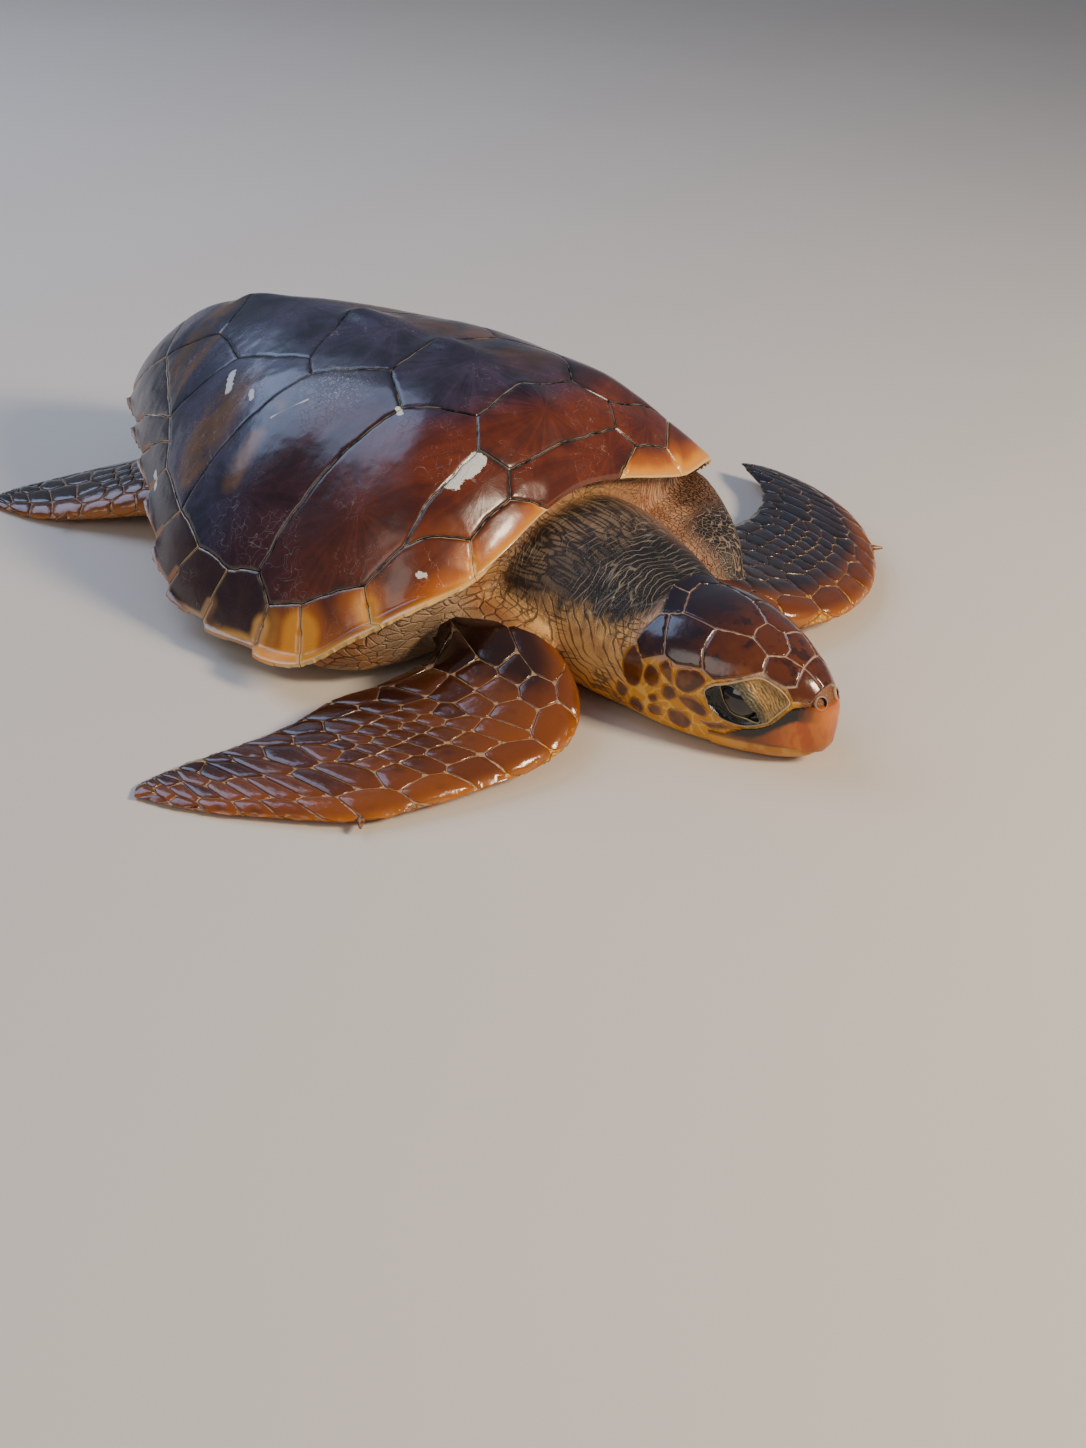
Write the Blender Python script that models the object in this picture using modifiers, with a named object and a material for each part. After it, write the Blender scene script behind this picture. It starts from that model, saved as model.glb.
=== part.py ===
"""Loggerhead turtle, a juvenile lying on its plastron with the head low and the flippers spread.

Lengths are metres, +Z is up and the head points along -Y. The origin is on the floor, under the
middle of the shell. Shapes are laid out in a unit that is close to the length of the shell: x to
the turtle's left, s back from the front of the carapace and z up from the floor. at() turns those
into metres.
"""
import math

import bmesh
import bpy
from mathutils import Vector

# --- driving dimensions -------------------------------------------------------------------------
UNIT = 0.315                   # layout unit: the carapace is 1.02 of it long
GAP = 0.0003                   # clearance between touching pieces
SCUTE_THICKNESS = 0.0026       # horn and bone of one carapace plate
TRUNK_CLEARANCE = 0.0013       # under the plates, more than GAP because both sides are faceted
PLASTRON_THICKNESS = 0.0064
CROWN = 0.404                  # height of the top of the shell
SHELL_CENTRE = 0.346           # s of that top
SHELL_MIDDLE = 0.5             # s of the origin
SEAM_SPACING = 0.039           # points along a seam
SERRATION = 0.035              # how far a rear marginal's tip stands out, as a share of the radius
SERRATED_FROM = 70             # angle at which that starts
KEEL_HEIGHT = 0.013
KEEL_HALF_WIDTH = 0.034
KEEL_PEAKS = (0.175, 0.350, 0.535, 0.800, 0.960)
EYE_RADIUS = 0.044
EYE_PLACE = (0.055, -0.338, 0.102)
CLAW_LENGTH = 0.026
CLAW_RADIUS = 0.007

# Rim of the left half of the carapace, from the nuchal notch to the tail: (x, s, z).
RIM = (
    (0.000, 0.046, 0.271), (0.094, 0.040, 0.258), (0.177, 0.034, 0.230), (0.257, 0.045, 0.196),
    (0.331, 0.082, 0.174), (0.379, 0.136, 0.126), (0.419, 0.206, 0.066), (0.435, 0.305, 0.050),
    (0.441, 0.411, 0.045), (0.424, 0.515, 0.060), (0.366, 0.618, 0.092), (0.300, 0.715, 0.120),
    (0.235, 0.816, 0.137), (0.165, 0.920, 0.149), (0.085, 1.020, 0.151), (0.000, 1.066, 0.148),
)
RIM_STEPS = 12

# The left shoulder of the carapace is warped out and up. Angles are degrees from the front.
FLARE_OUT = 0.12               # share of the radius
FLARE_UP = 0.050
FLARE_ANGLE = 62
FLARE_WIDTH = 17

# Angles round the shell's centre, in degrees from the front, of the seams beside the marginals:
# at the rim, and where they reach the costals.
MARGINAL_EDGES = (15.5, 38.5, 56.5, 70.5, 83.5, 98.5, 111.5, 124.5, 139, 151.5, 161, 170, 180)
MARGINAL_ROOTS = (28, 39.5, 61.5, 75, 83, 96.5, 106.5, 118.5, 135, 141.5, 148, 167, 180)

# Angles of the seams between the costals, where they reach the marginals.
COSTAL_ENDS = {"c12": 54.5, "c23": 88, "c34": 118.5, "c45": 148, "c5v": 167}

# The seam between costals and marginals: angle, and share of the way out to the rim.
INNER_SEAM = (
    (0, 0.90), (28, 0.90), (39.5, 0.92), (54.5, 0.87), (61.5, 0.90), (75, 0.91), (83, 0.935),
    (88, 0.90), (96.5, 0.92), (118.5, 0.92), (135, 0.935), (148, 0.90), (167, 0.875), (180, 0.86),
)

# Corners of the left half of the seam network: (x, s).
CORNERS = {
    "nuchal_vertebral": (0.124, 0.091), "nuchal_costal": (0.150, 0.067),
    "v1_c12": (0.150, 0.131), "v12": (0.112, 0.175), "v12_mid": (0.0, 0.189),
    "v2_c23": (0.181, 0.263), "v23": (0.123, 0.344), "v23_mid": (0.0, 0.363),
    "v3_c34": (0.188, 0.449), "v34": (0.157, 0.488), "v34_mid": (0.0, 0.552),
    "v4_c45": (0.171, 0.637), "v45": (0.112, 0.745), "v45_mid": (0.0, 0.795),
}

# Outline of the left half of the plastron: (x, s).
PLASTRON = (
    (0.000, 0.105), (0.075, 0.110), (0.130, 0.150), (0.180, 0.215), (0.255, 0.280), (0.305, 0.360),
    (0.305, 0.460), (0.265, 0.560), (0.190, 0.650), (0.150, 0.750), (0.105, 0.860), (0.000, 0.905),
)


def at(x, s, z):
    """Point in metres from a place given in layout units."""
    return Vector((x, s - SHELL_MIDDLE, z)) * UNIT


# --- small tools --------------------------------------------------------------------------------
def smooth_path(points, steps, mirror_start=False):
    """Catmull-Rom points through a list of tuples; mirror_start reflects both ends in x."""
    first = list(points[1])
    last = list(points[-2])
    if mirror_start:
        first[0] = -first[0]
        last[0] = -last[0]
    guide = [first, *points, last]
    path = []
    for i in range(1, len(guide) - 2):
        p0, p1, p2, p3 = guide[i - 1:i + 3]
        for step in range(steps):
            t = step / steps
            path.append(tuple(
                0.5 * (2 * b + (c - a) * t + (2 * a - 5 * b + 4 * c - d) * t ** 2
                       + (3 * b - a - 3 * c + d) * t ** 3)
                for a, b, c, d in zip(p0, p1, p2, p3)))
    path.append(tuple(points[-1]))
    return path


def between(value, stops):
    """Piecewise linear value at a place in a list of (place, value) pairs."""
    if value <= stops[0][0]:
        return stops[0][1]
    for (a, va), (b, vb) in zip(stops, stops[1:]):
        if value <= b:
            return va + (vb - va) * (value - a) / (b - a)
    return stops[-1][1]


def polar_table(points):
    """(angle from the front, radius, height) of an outline about the shell's centre."""
    table = []
    for point in points:
        ahead = SHELL_CENTRE - point[1]
        table.append((math.atan2(point[0], ahead), math.hypot(point[0], ahead), point[2:]))
    return table


RIM_TABLE = polar_table(smooth_path(RIM, RIM_STEPS, True))
RIM_RADIUS = [(angle, radius) for angle, radius, _ in RIM_TABLE]
RIM_HEIGHT = [(angle, rest[0]) for angle, _, rest in RIM_TABLE]
PLASTRON_RADIUS = [(angle, radius) for angle, radius, _ in
                   polar_table(smooth_path(PLASTRON, RIM_STEPS, True))]


# --- the carapace as a surface --------------------------------------------------------------------
def flare(angle, width):
    """1 in the middle of the warped left shoulder, 0 away from it."""
    return math.exp(-((math.degrees(angle) - FLARE_ANGLE) / width) ** 2)


def plan(angle, rho):
    """(x, s) of a place at an angle in radians from the front and a share of the rim's radius."""
    out = 1 + FLARE_OUT * flare(angle, FLARE_WIDTH) * rho ** 10
    radius = rho * out * between(abs(angle), RIM_RADIUS)
    return radius * math.sin(angle), SHELL_CENTRE - radius * math.cos(angle)


def polar(x, s):
    """Angle and share for a place: the inverse of plan."""
    angle = math.atan2(x, SHELL_CENTRE - s)
    whole = math.hypot(x, SHELL_CENTRE - s) / between(abs(angle), RIM_RADIUS)
    rho = whole
    for _ in range(12):
        out = 1 + FLARE_OUT * flare(angle, FLARE_WIDTH) * min(rho, 1.05) ** 10
        rho = 0.5 * (rho + whole / out)
    return angle, rho


def rim_height(angle):
    return between(abs(angle), RIM_HEIGHT) + FLARE_UP * flare(angle, 1.6 * FLARE_WIDTH)


def keel(x, s):
    """Low knobs at the back of each vertebral scute, steeper behind than in front."""
    height = 0.0
    for peak in KEEL_PEAKS:
        width = 0.075 if s < peak else 0.028
        height += math.exp(-(x / KEEL_HALF_WIDTH) ** 2 - ((s - peak) / width) ** 2)
    return KEEL_HEIGHT * height


def dome(x, s):
    """Height of the carapace's outer face, in layout units."""
    angle, rho = polar(x, s)
    rim = rim_height(angle)
    angle = abs(angle)
    power = between(angle, ((0, 2.67), (math.pi / 2, 2.82), (math.pi, 3.05)))
    fullness = between(angle, ((0, 0.83), (math.pi / 2, 0.94), (math.pi, 0.75)))
    rise = max(0.0, 1 - min(rho, 1.0) ** power) ** fullness
    return rim + (CROWN - rim) * rise + keel(x, s) * (1 - min(rho, 1.0) ** 4)


def inward(x, s):
    """Direction from the outer face into the shell, the same for every plate that meets there."""
    angle, rho = polar(x, s)
    lean = math.radians(58) * min(rho, 1.0) ** 3
    return -outward(angle) * math.sin(lean) - Vector((0, 0, math.cos(lean)))


def outward(angle):
    return Vector((math.sin(angle), -math.cos(angle), 0))


def shell_point(x, s, depth=0.0):
    """Point in metres on the carapace, or some metres inside it."""
    return at(x, s, dome(x, s)) + inward(x, s) * depth


# --- materials and objects ------------------------------------------------------------------------
def material(name, colour, roughness, metallic=0.0):
    made = bpy.data.materials.new(name)
    made.use_nodes = True
    shader = made.node_tree.nodes["Principled BSDF"]
    shader.inputs["Base Color"].default_value = (*colour, 1)
    shader.inputs["Roughness"].default_value = roughness
    shader.inputs["Metallic"].default_value = metallic
    made.diffuse_color = (*colour, 1)
    return made


def add_object(name, mesh, surface, home, parent=None):
    made = bpy.data.objects.new(name, mesh)
    home.objects.link(made)
    made.data.materials.append(surface)
    made.parent = parent
    return made


def finish_mesh(bm, name):
    """Close the bmesh into a mesh whose faces point out, shaded smooth with its edges sharp."""
    bmesh.ops.recalc_face_normals(bm, faces=bm.faces)
    mesh = bpy.data.meshes.new(name)
    bm.to_mesh(mesh)
    bm.free()
    mesh.shade_smooth()
    mesh.set_sharp_from_angle(angle=math.radians(40))
    return mesh


def loft(name, rings):
    """Closed skin through rings of equal counts of points."""
    bm = bmesh.new()
    rows = [[bm.verts.new(point) for point in ring] for ring in rings]
    count = len(rows[0])
    for lower, upper in zip(rows, rows[1:]):
        for i in range(count):
            bm.faces.new((lower[i], lower[(i + 1) % count], upper[(i + 1) % count], upper[i]))
    bmesh.ops.triangulate(bm, faces=bm.faces, quad_method="FIXED")
    bm.faces.new(rows[0][::-1])
    bm.faces.new(rows[-1])
    return finish_mesh(bm, name)


# --- scutes ---------------------------------------------------------------------------------------
def divided(points, spacing):
    """The closed outline with extra points where its sides are long."""
    out = []
    for a, b in zip(points, points[1:] + points[:1]):
        pieces = max(1, round(math.dist(a, b) / spacing))
        for i in range(pieces):
            t = i / pieces
            out.append((a[0] + (b[0] - a[0]) * t, a[1] + (b[1] - a[1]) * t))
    return out


def shrunk(points, distance):
    """The outline moved inwards by a distance, side by side."""
    area = sum(a[0] * b[1] - b[0] * a[1] for a, b in zip(points, points[1:] + points[:1]))
    turn = math.copysign(1, area)
    out = []
    for before, here, after in zip(points[-1:] + points[:-1], points, points[1:] + points[:1]):
        e1 = Vector((here[0] - before[0], here[1] - before[1])).normalized()
        e2 = Vector((after[0] - here[0], after[1] - here[1])).normalized()
        n1 = Vector((-e1.y, e1.x)) * turn
        n2 = Vector((-e2.y, e2.x)) * turn
        miter = (n1 + n2).normalized()
        step = distance / max(0.3, miter.dot(n1))
        out.append((here[0] + miter.x * step, here[1] + miter.y * step))
    return out


def scute(name, outline, surface, home, parent):
    """One plate: its outline on the dome, filled by rings towards the middle, given a thickness."""
    points = shrunk(divided(outline, SEAM_SPACING), 0.5 * GAP / UNIT)
    middle = (sum(p[0] for p in points) / len(points), sum(p[1] for p in points) / len(points))
    bm = bmesh.new()
    shape = bm.faces.new([bm.verts.new((x, s, 0)) for x, s in points])
    fan = bmesh.ops.poke(bm, faces=[shape])
    hub = fan["verts"][0]
    hub.co = Vector((*middle, 0))
    size = max(math.dist(middle, p) for p in points)
    rings = max(1, round(size / (1.4 * SEAM_SPACING)) - 1)
    bmesh.ops.subdivide_edges(bm, edges=list(hub.link_edges), cuts=rings)
    top = list(bm.faces)
    wall = bmesh.ops.extrude_face_region(bm, geom=top, use_keep_orig=True)
    lower = {v for v in wall["geom"] if isinstance(v, bmesh.types.BMVert)}
    for vert in bm.verts:
        x, s = vert.co.x, vert.co.y
        vert.co = shell_point(x, s, SCUTE_THICKNESS if vert in lower else 0.0)
    bmesh.ops.triangulate(bm, faces=[f for f in bm.faces if len(f.verts) > 3])
    return add_object(name, finish_mesh(bm, name), surface, home, parent)


def flip(points):
    return [(-x, s) for x, s in points][::-1]


def seam_corner(degrees):
    return plan(math.radians(degrees), between(degrees, INNER_SEAM))


def costal_outlines():
    """Left costals, from the front: corners on the vertebrals, then back along the marginals."""
    c = CORNERS
    ends = {key: seam_corner(angle) for key, angle in COSTAL_ENDS.items()}
    inner = {
        1: [c["nuchal_costal"], c["nuchal_vertebral"], c["v1_c12"], ends["c12"]],
        2: [c["v1_c12"], c["v12"], c["v2_c23"], ends["c23"]],
        3: [c["v2_c23"], c["v23"], c["v3_c34"], ends["c34"]],
        4: [c["v3_c34"], c["v34"], c["v4_c45"], ends["c45"]],
        5: [c["v4_c45"], c["v45"], ends["c5v"]],
    }
    starts = (MARGINAL_ROOTS[0], *COSTAL_ENDS.values())
    for number, corners in inner.items():
        first, last = starts[number - 1], starts[number]
        along = [a for a in MARGINAL_ROOTS if first + 1 < a < last - 1]
        corners += [seam_corner(a) for a in reversed(along)]
        if number > 1:
            corners.append(seam_corner(first))
    return inner


def vertebral_outlines():
    c = CORNERS
    tail = [seam_corner(COSTAL_ENDS["c5v"]), seam_corner(180)]
    left = {
        1: ["nuchal_vertebral", "v1_c12", "v12", "v12_mid"],
        2: ["v12_mid", "v12", "v2_c23", "v23", "v23_mid"],
        3: ["v23_mid", "v23", "v3_c34", "v34", "v34_mid"],
        4: ["v34_mid", "v34", "v4_c45", "v45", "v45_mid"],
        5: ["v45_mid", "v45"],
    }
    outlines = {}
    for number, names in left.items():
        half = [c[name] for name in names] + (tail if number == 5 else [])
        other = [p for p in flip(half) if abs(p[0]) > 1e-6]
        outlines[number] = half + other
    return outlines


def rim_arc(first, last, count, serrated):
    """Outer edge between two angles, drawn out towards its back end where the rim is serrated."""
    arc = []
    for i in range(count + 1):
        t = i / count
        angle = math.radians(first + (last - first) * t)
        tooth = t ** 1.6 * (1 - t ** 7) * 1.35 if serrated else 0.0
        arc.append(plan(angle, 1 + SERRATION * tooth))
    return arc


def marginal_outline(number):
    """One left marginal: the rim from front to back, then the inner seam from back to front."""
    first, last = MARGINAL_EDGES[number - 1:number + 1]
    root_first, root_last = MARGINAL_ROOTS[number - 1:number + 1]
    cuts = [a for a in COSTAL_ENDS.values() if root_first + 1 < a < root_last - 1]
    inner = [seam_corner(root_last), *[seam_corner(a) for a in reversed(cuts)]]
    inner.append(CORNERS["nuchal_costal"] if number == 1 else seam_corner(root_first))
    return rim_arc(first, last, 6, first >= SERRATED_FROM) + inner


def build_carapace(home, parent):
    horn = material("carapace_horn", (0.10, 0.030, 0.014), 0.22)
    edge = material("marginal_horn", (0.42, 0.13, 0.025), 0.25)
    wide = math.radians(MARGINAL_EDGES[0])
    front = [plan(wide * i / 3, 1.0) for i in range(-3, 4)]
    corners = [CORNERS["nuchal_costal"], CORNERS["nuchal_vertebral"]]
    scute("nuchal", front + corners + [(-x, s) for x, s in reversed(corners)], horn, home, parent)
    for number, outline in vertebral_outlines().items():
        scute(f"vertebral_{number}", outline, horn, home, parent)
    for number, outline in costal_outlines().items():
        scute(f"costal_left_{number}", outline, horn, home, parent)
        scute(f"costal_right_{number}", flip(outline), horn, home, parent)
    count = len(MARGINAL_EDGES) - 1
    for number in range(1, count + 1):
        outline = marginal_outline(number)
        title = "supracaudal" if number == count else "marginal"
        suffix = "" if number == count else f"_{number}"
        scute(f"{title}_left{suffix}", outline, edge, home, parent)
        scute(f"{title}_right{suffix}", flip(outline), edge, home, parent)


# --- trunk and plastron -----------------------------------------------------------------------------
def build_plastron(home, parent):
    """Flat bony floor of the shell, its lower edge rounded off."""
    pale = material("plastron_horn", (0.72, 0.52, 0.26), 0.4)
    half = smooth_path(PLASTRON, 2, True)
    outline = half + [(-x, s) for x, s in half[-2:0:-1]]
    bm = bmesh.new()
    base = bm.faces.new([bm.verts.new(at(x, s, 0)) for x, s in outline])
    up = bmesh.ops.extrude_face_region(bm, geom=[base], use_keep_orig=True)
    for vert in (v for v in up["geom"] if isinstance(v, bmesh.types.BMVert)):
        vert.co.z = PLASTRON_THICKNESS
    made = add_object("plastron", finish_mesh(bm, "plastron"), pale, home, parent)
    bevel = made.modifiers.new("rounded edge", "BEVEL")
    bevel.width = 0.3 * PLASTRON_THICKNESS
    bevel.segments = 1
    bevel.limit_method = "ANGLE"
    return made


TRUNK_SIDES = 44
TRUNK_TOP = (0.3, 0.6, 0.82, 0.945)
WEB_ANGLE = 66                 # where the skin behind each shoulder bulges out, and how wide
WEB_WIDTH = 17


def trunk_rings(grow=0.0):
    """Rings of the trunk from the top of the back down to the plastron; grow swells it."""
    depth = SCUTE_THICKNESS + TRUNK_CLEARANCE - grow
    angles = [-math.pi + 2 * math.pi * (i + 0.5) / TRUNK_SIDES for i in range(TRUNK_SIDES)]
    rings = []
    for rho in TRUNK_TOP:
        rings.append([shell_point(*plan(angle, rho), depth) for angle in angles])
    side = []
    low = []
    base = []
    for angle in angles:
        edge = between(abs(angle), RIM_RADIUS)
        web = math.exp(-((math.degrees(abs(angle)) - WEB_ANGLE) / WEB_WIDTH) ** 2)
        height = max(0.035, between(abs(angle), RIM_HEIGHT) - 0.055)
        side.append(around(angle, (0.90 + 0.07 * web) * edge, height) + outward(angle) * grow)
        foot = 0.97 * between(abs(angle), PLASTRON_RADIUS)
        wide = foot + (0.45 + 0.50 * web) * (0.94 * edge - foot)
        below = Vector((0, 0, -grow))
        low.append(around(angle, wide, 0.030 - 0.006 * web) + outward(angle) * grow + below)
        base.append(around(angle, foot, 0.0) + outward(angle) * grow)
    for point in base:
        point.z = PLASTRON_THICKNESS + GAP - grow
    rings += [side, low, base]
    return rings


def around(angle, radius, z):
    return at(radius * math.sin(angle), SHELL_CENTRE - radius * math.cos(angle), z)


# --- flippers, neck, head ---------------------------------------------------------------------------
def oval(centre, across, up, count, squareness=1.0, below=None):
    """Ring of points about a centre, from two half-axis vectors; below squares its lower half."""
    ring = []
    for i in range(count):
        turn = 2 * math.pi * (i + 0.5) / count
        cosine, sine = math.cos(turn), math.sin(turn)
        power = squareness if sine > 0 or below is None else below
        x = math.copysign(abs(cosine) ** power, cosine)
        y = math.copysign(abs(sine) ** power, sine)
        ring.append(centre + across * x + up * y)
    return ring


# Stations along a limb, from the shoulder out:
# leading edge (x, s), trailing edge (x, s), height of the middle, half thickness.
# The right front flipper lies flat; the left one is held a little further out and higher.
FRONT_RIGHT = (
    ((0.120, 0.020), (0.190, 0.180), 0.105, 0.050),
    ((0.165, -0.055), (0.235, 0.130), 0.088, 0.050),
    ((0.190, -0.125), (0.285, 0.072), 0.066, 0.045),
    ((0.235, -0.170), (0.340, 0.085), 0.048, 0.038),
    ((0.300, -0.192), (0.395, 0.110), 0.035, 0.030),
    ((0.380, -0.185), (0.445, 0.130), 0.027, 0.025),
    ((0.480, -0.158), (0.525, 0.128), 0.021, 0.021),
    ((0.600, -0.113), (0.605, 0.143), 0.015, 0.016),
    ((0.690, -0.015), (0.665, 0.160), 0.011, 0.0115),
    ((0.748, 0.066), (0.715, 0.168), 0.0075, 0.008),
    ((0.784, 0.145), (0.755, 0.172), 0.005, 0.006),
)
FRONT_LEFT = (
    ((0.120, 0.020), (0.190, 0.180), 0.105, 0.050),
    ((0.165, -0.065), (0.240, 0.130), 0.088, 0.050),
    ((0.195, -0.145), (0.300, 0.062), 0.066, 0.045),
    ((0.250, -0.195), (0.360, 0.060), 0.050, 0.038),
    ((0.325, -0.222), (0.425, 0.080), 0.040, 0.031),
    ((0.420, -0.226), (0.485, 0.095), 0.036, 0.027),
    ((0.525, -0.197), (0.570, 0.100), 0.035, 0.023),
    ((0.635, -0.128), (0.640, 0.125), 0.036, 0.020),
    ((0.722, -0.030), (0.700, 0.170), 0.037, 0.017),
    ((0.773, 0.080), (0.745, 0.235), 0.036, 0.013),
    ((0.795, 0.190), (0.775, 0.270), 0.032, 0.008),
)
HIND_FLIPPER = (
    ((0.200, 0.660), (0.070, 0.800), 0.078, 0.042),
    ((0.262, 0.745), (0.110, 0.890), 0.060, 0.034),
    ((0.312, 0.820), (0.155, 0.955), 0.036, 0.027),
    ((0.348, 0.872), (0.215, 1.005), 0.020, 0.019),
    ((0.377, 0.925), (0.275, 1.035), 0.011, 0.013),
    ((0.395, 0.985), (0.330, 1.050), 0.007, 0.009),
    ((0.400, 1.030), (0.372, 1.050), 0.005, 0.006),
)
LIMBS = {
    "front_left": (FRONT_LEFT, 1), "front_right": (FRONT_RIGHT, -1),
    "hind_left": (HIND_FLIPPER, 1), "hind_right": (HIND_FLIPPER, -1),
}
CLAW_STATION = {"front": 7, "hind": 3}
LIMB_SIDES = 14


def limb_rings(stations, side):
    """Rings of a limb; side is 1 on the left and -1 on the right, and the underside is flat."""
    rings = []
    for lead, trail, height, half in stations:
        front, back = (at(side * x, s, height) for x, s in (lead, trail))
        up = Vector((0, 0, half * UNIT))
        ring = oval((front + back) / 2, (front - back) / 2, up, LIMB_SIDES, 0.85)
        for point in ring:
            point.z = max(point.z, 0.0)
        rings.append(ring)
    return rings


# Stations along the neck and the head: s, half width, lowest z, highest z.
NECK = (
    (0.150, 0.145, 0.045, 0.215), (0.070, 0.158, 0.026, 0.243), (0.000, 0.160, 0.012, 0.243),
    (-0.080, 0.150, 0.002, 0.218), (-0.163, 0.133, -0.004, 0.186),
)
HEAD = (
    (-0.164, 0.132, -0.004, 0.185), (-0.215, 0.130, -0.006, 0.188), (-0.270, 0.117, -0.006, 0.187),
    (-0.325, 0.097, -0.003, 0.176), (-0.372, 0.073, 0.002, 0.160), (-0.407, 0.051, 0.009, 0.142),
    (-0.432, 0.030, 0.021, 0.115), (-0.444, 0.013, 0.036, 0.082),
)
HEAD_SIDES = 22
BELLY_SQUARENESS = 0.6         # how flat the throat lies

# Side views of the horny beak and the lower jaw: (s, z). They share the line of the gape.
JAW_OUTLINE = ((-0.300, 0.046), (-0.500, 0.036), (-0.500, -0.100), (-0.300, -0.100))
BEAK_OUTLINE = ((-0.352, 0.0434), (-0.420, 0.098), (-0.500, 0.098), (-0.500, 0.036))


def body_rings(stations, count, squareness, grow=0.0):
    """Upright oval rings across the middle plane, kept above the floor; grow swells them."""
    rings = []
    for s, half, low, high in stations:
        centre = at(0, s, (low + high) / 2)
        rise = Vector((0, 0, (high - low) / 2 * UNIT + grow))
        across = Vector((half * UNIT + grow, 0, 0))
        ring = oval(centre, across, rise, count, squareness, BELLY_SQUARENESS)
        for point in ring:
            point.z = max(point.z, -grow)
        rings.append(ring)
    return rings


# --- cutting ----------------------------------------------------------------------------------------
def make_cutter(name, mesh, home):
    cutter = bpy.data.objects.new(name, mesh)
    home.objects.link(cutter)
    cutter.hide_render = True
    cutter.display_type = "WIRE"
    return cutter


def cut(target, cutter, operation="DIFFERENCE"):
    step = target.modifiers.new(f"{operation.lower()} {cutter.name}", "BOOLEAN")
    step.operation = operation
    step.solver = "EXACT"
    step.object = cutter


def prism(name, outline, offset, home):
    """Cutter across the middle plane from a side view (s, z), moved in by an offset in metres."""
    half = 0.2 * UNIT
    points = shrunk(list(outline), offset / UNIT)
    left, right = ([at(0, s, z) + Vector((x, 0, 0)) for s, z in points] for x in (half, -half))
    return make_cutter(name, loft(name, [left, right]), home)


def ball(name, centre, radius):
    bm = bmesh.new()
    bmesh.ops.create_icosphere(bm, subdivisions=2, radius=radius)
    bmesh.ops.translate(bm, verts=bm.verts, vec=centre)
    return finish_mesh(bm, name)


def spike(name, base, tip, radius):
    """Blunt cone from a base to a tip."""
    axis = tip - base
    turn = axis.to_track_quat("Z", "Y")
    bm = bmesh.new()
    bmesh.ops.create_cone(bm, cap_ends=True, segments=10, radius1=radius, radius2=0.3 * radius,
                          depth=axis.length)
    bmesh.ops.rotate(bm, verts=bm.verts, matrix=turn.to_matrix())
    bmesh.ops.translate(bm, verts=bm.verts, vec=(base + tip) / 2)
    return finish_mesh(bm, name)


# --- flesh ------------------------------------------------------------------------------------------
def build_head(home, parent, cutters, skin):
    """Head with its horny beak, lower jaw and eyes, parted by thin gaps."""
    horn = material("beak_horn", (0.62, 0.22, 0.04), 0.3)
    wet = material("eye_surface", (0.010, 0.008, 0.006), 0.08)
    pieces = {}
    for name, surface in (("head", skin), ("beak_upper", horn), ("jaw_lower", horn)):
        mesh = loft(name, body_rings(HEAD, HEAD_SIDES, 0.85))
        pieces[name] = add_object(name, mesh, surface, home, parent)
    for name, outline in (("beak_upper", BEAK_OUTLINE), ("jaw_lower", JAW_OUTLINE)):
        cut(pieces["head"], prism(f"{name}_pocket", outline, -0.5 * GAP, cutters))
        cut(pieces[name], prism(f"{name}_block", outline, 0.5 * GAP, cutters), "INTERSECT")
    for title, side in (("left", 1), ("right", -1)):
        x, s, z = EYE_PLACE
        centre = at(side * x, s, z)
        add_object(f"eye_{title}", ball("eye", centre, EYE_RADIUS * UNIT), wet, home, parent)
        socket = ball("socket", centre, EYE_RADIUS * UNIT + GAP)
        cut(pieces["head"], make_cutter(f"socket_{title}", socket, cutters))


def claw_ends(stations, number, side):
    """Base and tip of a claw on the leading edge, next to one of the limb's stations."""
    lead, trail, height, _ = stations[number]
    edge, after, across = (at(side * x, s, height) for x, s in (lead, stations[number + 1][0], trail))
    along = (after - edge).normalized()
    inner = (across - edge).normalized()
    base = edge + inner * 0.5 * CLAW_LENGTH * UNIT
    tip = edge + (along - inner * 0.9).normalized() * 0.75 * CLAW_LENGTH * UNIT
    return base, tip


def build_limbs(home, parent, cutters, skin, body_shapes):
    claw_horn = material("claw_horn", (0.20, 0.10, 0.05), 0.35)
    for title, (stations, side) in LIMBS.items():
        flipper = add_object(f"flipper_{title}", loft("flipper", limb_rings(stations, side)),
                             skin, home, parent)
        for shape in body_shapes:
            cut(flipper, shape)
        base, tip = claw_ends(stations, CLAW_STATION[title.split("_")[0]], side)
        radius = CLAW_RADIUS * UNIT
        for point in (base, tip):
            point.z = max(point.z, radius + GAP)
        add_object(f"claw_{title}", spike("claw", base, tip, radius), claw_horn, home, parent)
        along = (tip - base).normalized() * GAP
        pocket = spike("pocket", base - along, tip + along, radius + GAP)
        cut(flipper, make_cutter(f"pocket_{title}", pocket, cutters))


TAIL = ((0.800, 0.050, 0.050, 0.130), (0.900, 0.040, 0.045, 0.110), (0.970, 0.026, 0.048, 0.092),
        (1.020, 0.012, 0.055, 0.076))


def build_flesh(home, parent, cutters):
    skin = material("skin", (0.16, 0.10, 0.06), 0.5)
    scaled = material("scaled_skin", (0.18, 0.06, 0.03), 0.3)
    add_object("trunk", loft("trunk", trunk_rings()), skin, home, parent)
    trunk_shape = make_cutter("trunk_shape", loft("trunk_shape", trunk_rings(GAP)), cutters)
    neck = add_object("neck", loft("neck", body_rings(NECK, HEAD_SIDES, 0.9)), skin, home, parent)
    neck_rings = body_rings(NECK, HEAD_SIDES, 0.9, GAP)
    neck_shape = make_cutter("neck_shape", loft("neck_shape", neck_rings), cutters)
    tail = add_object("tail", loft("tail", body_rings(TAIL, 12, 1.0)), skin, home, parent)
    cut(neck, trunk_shape)
    cut(tail, trunk_shape)
    build_limbs(home, parent, cutters, scaled, (trunk_shape, neck_shape))
    build_head(home, parent, cutters, scaled)


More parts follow.
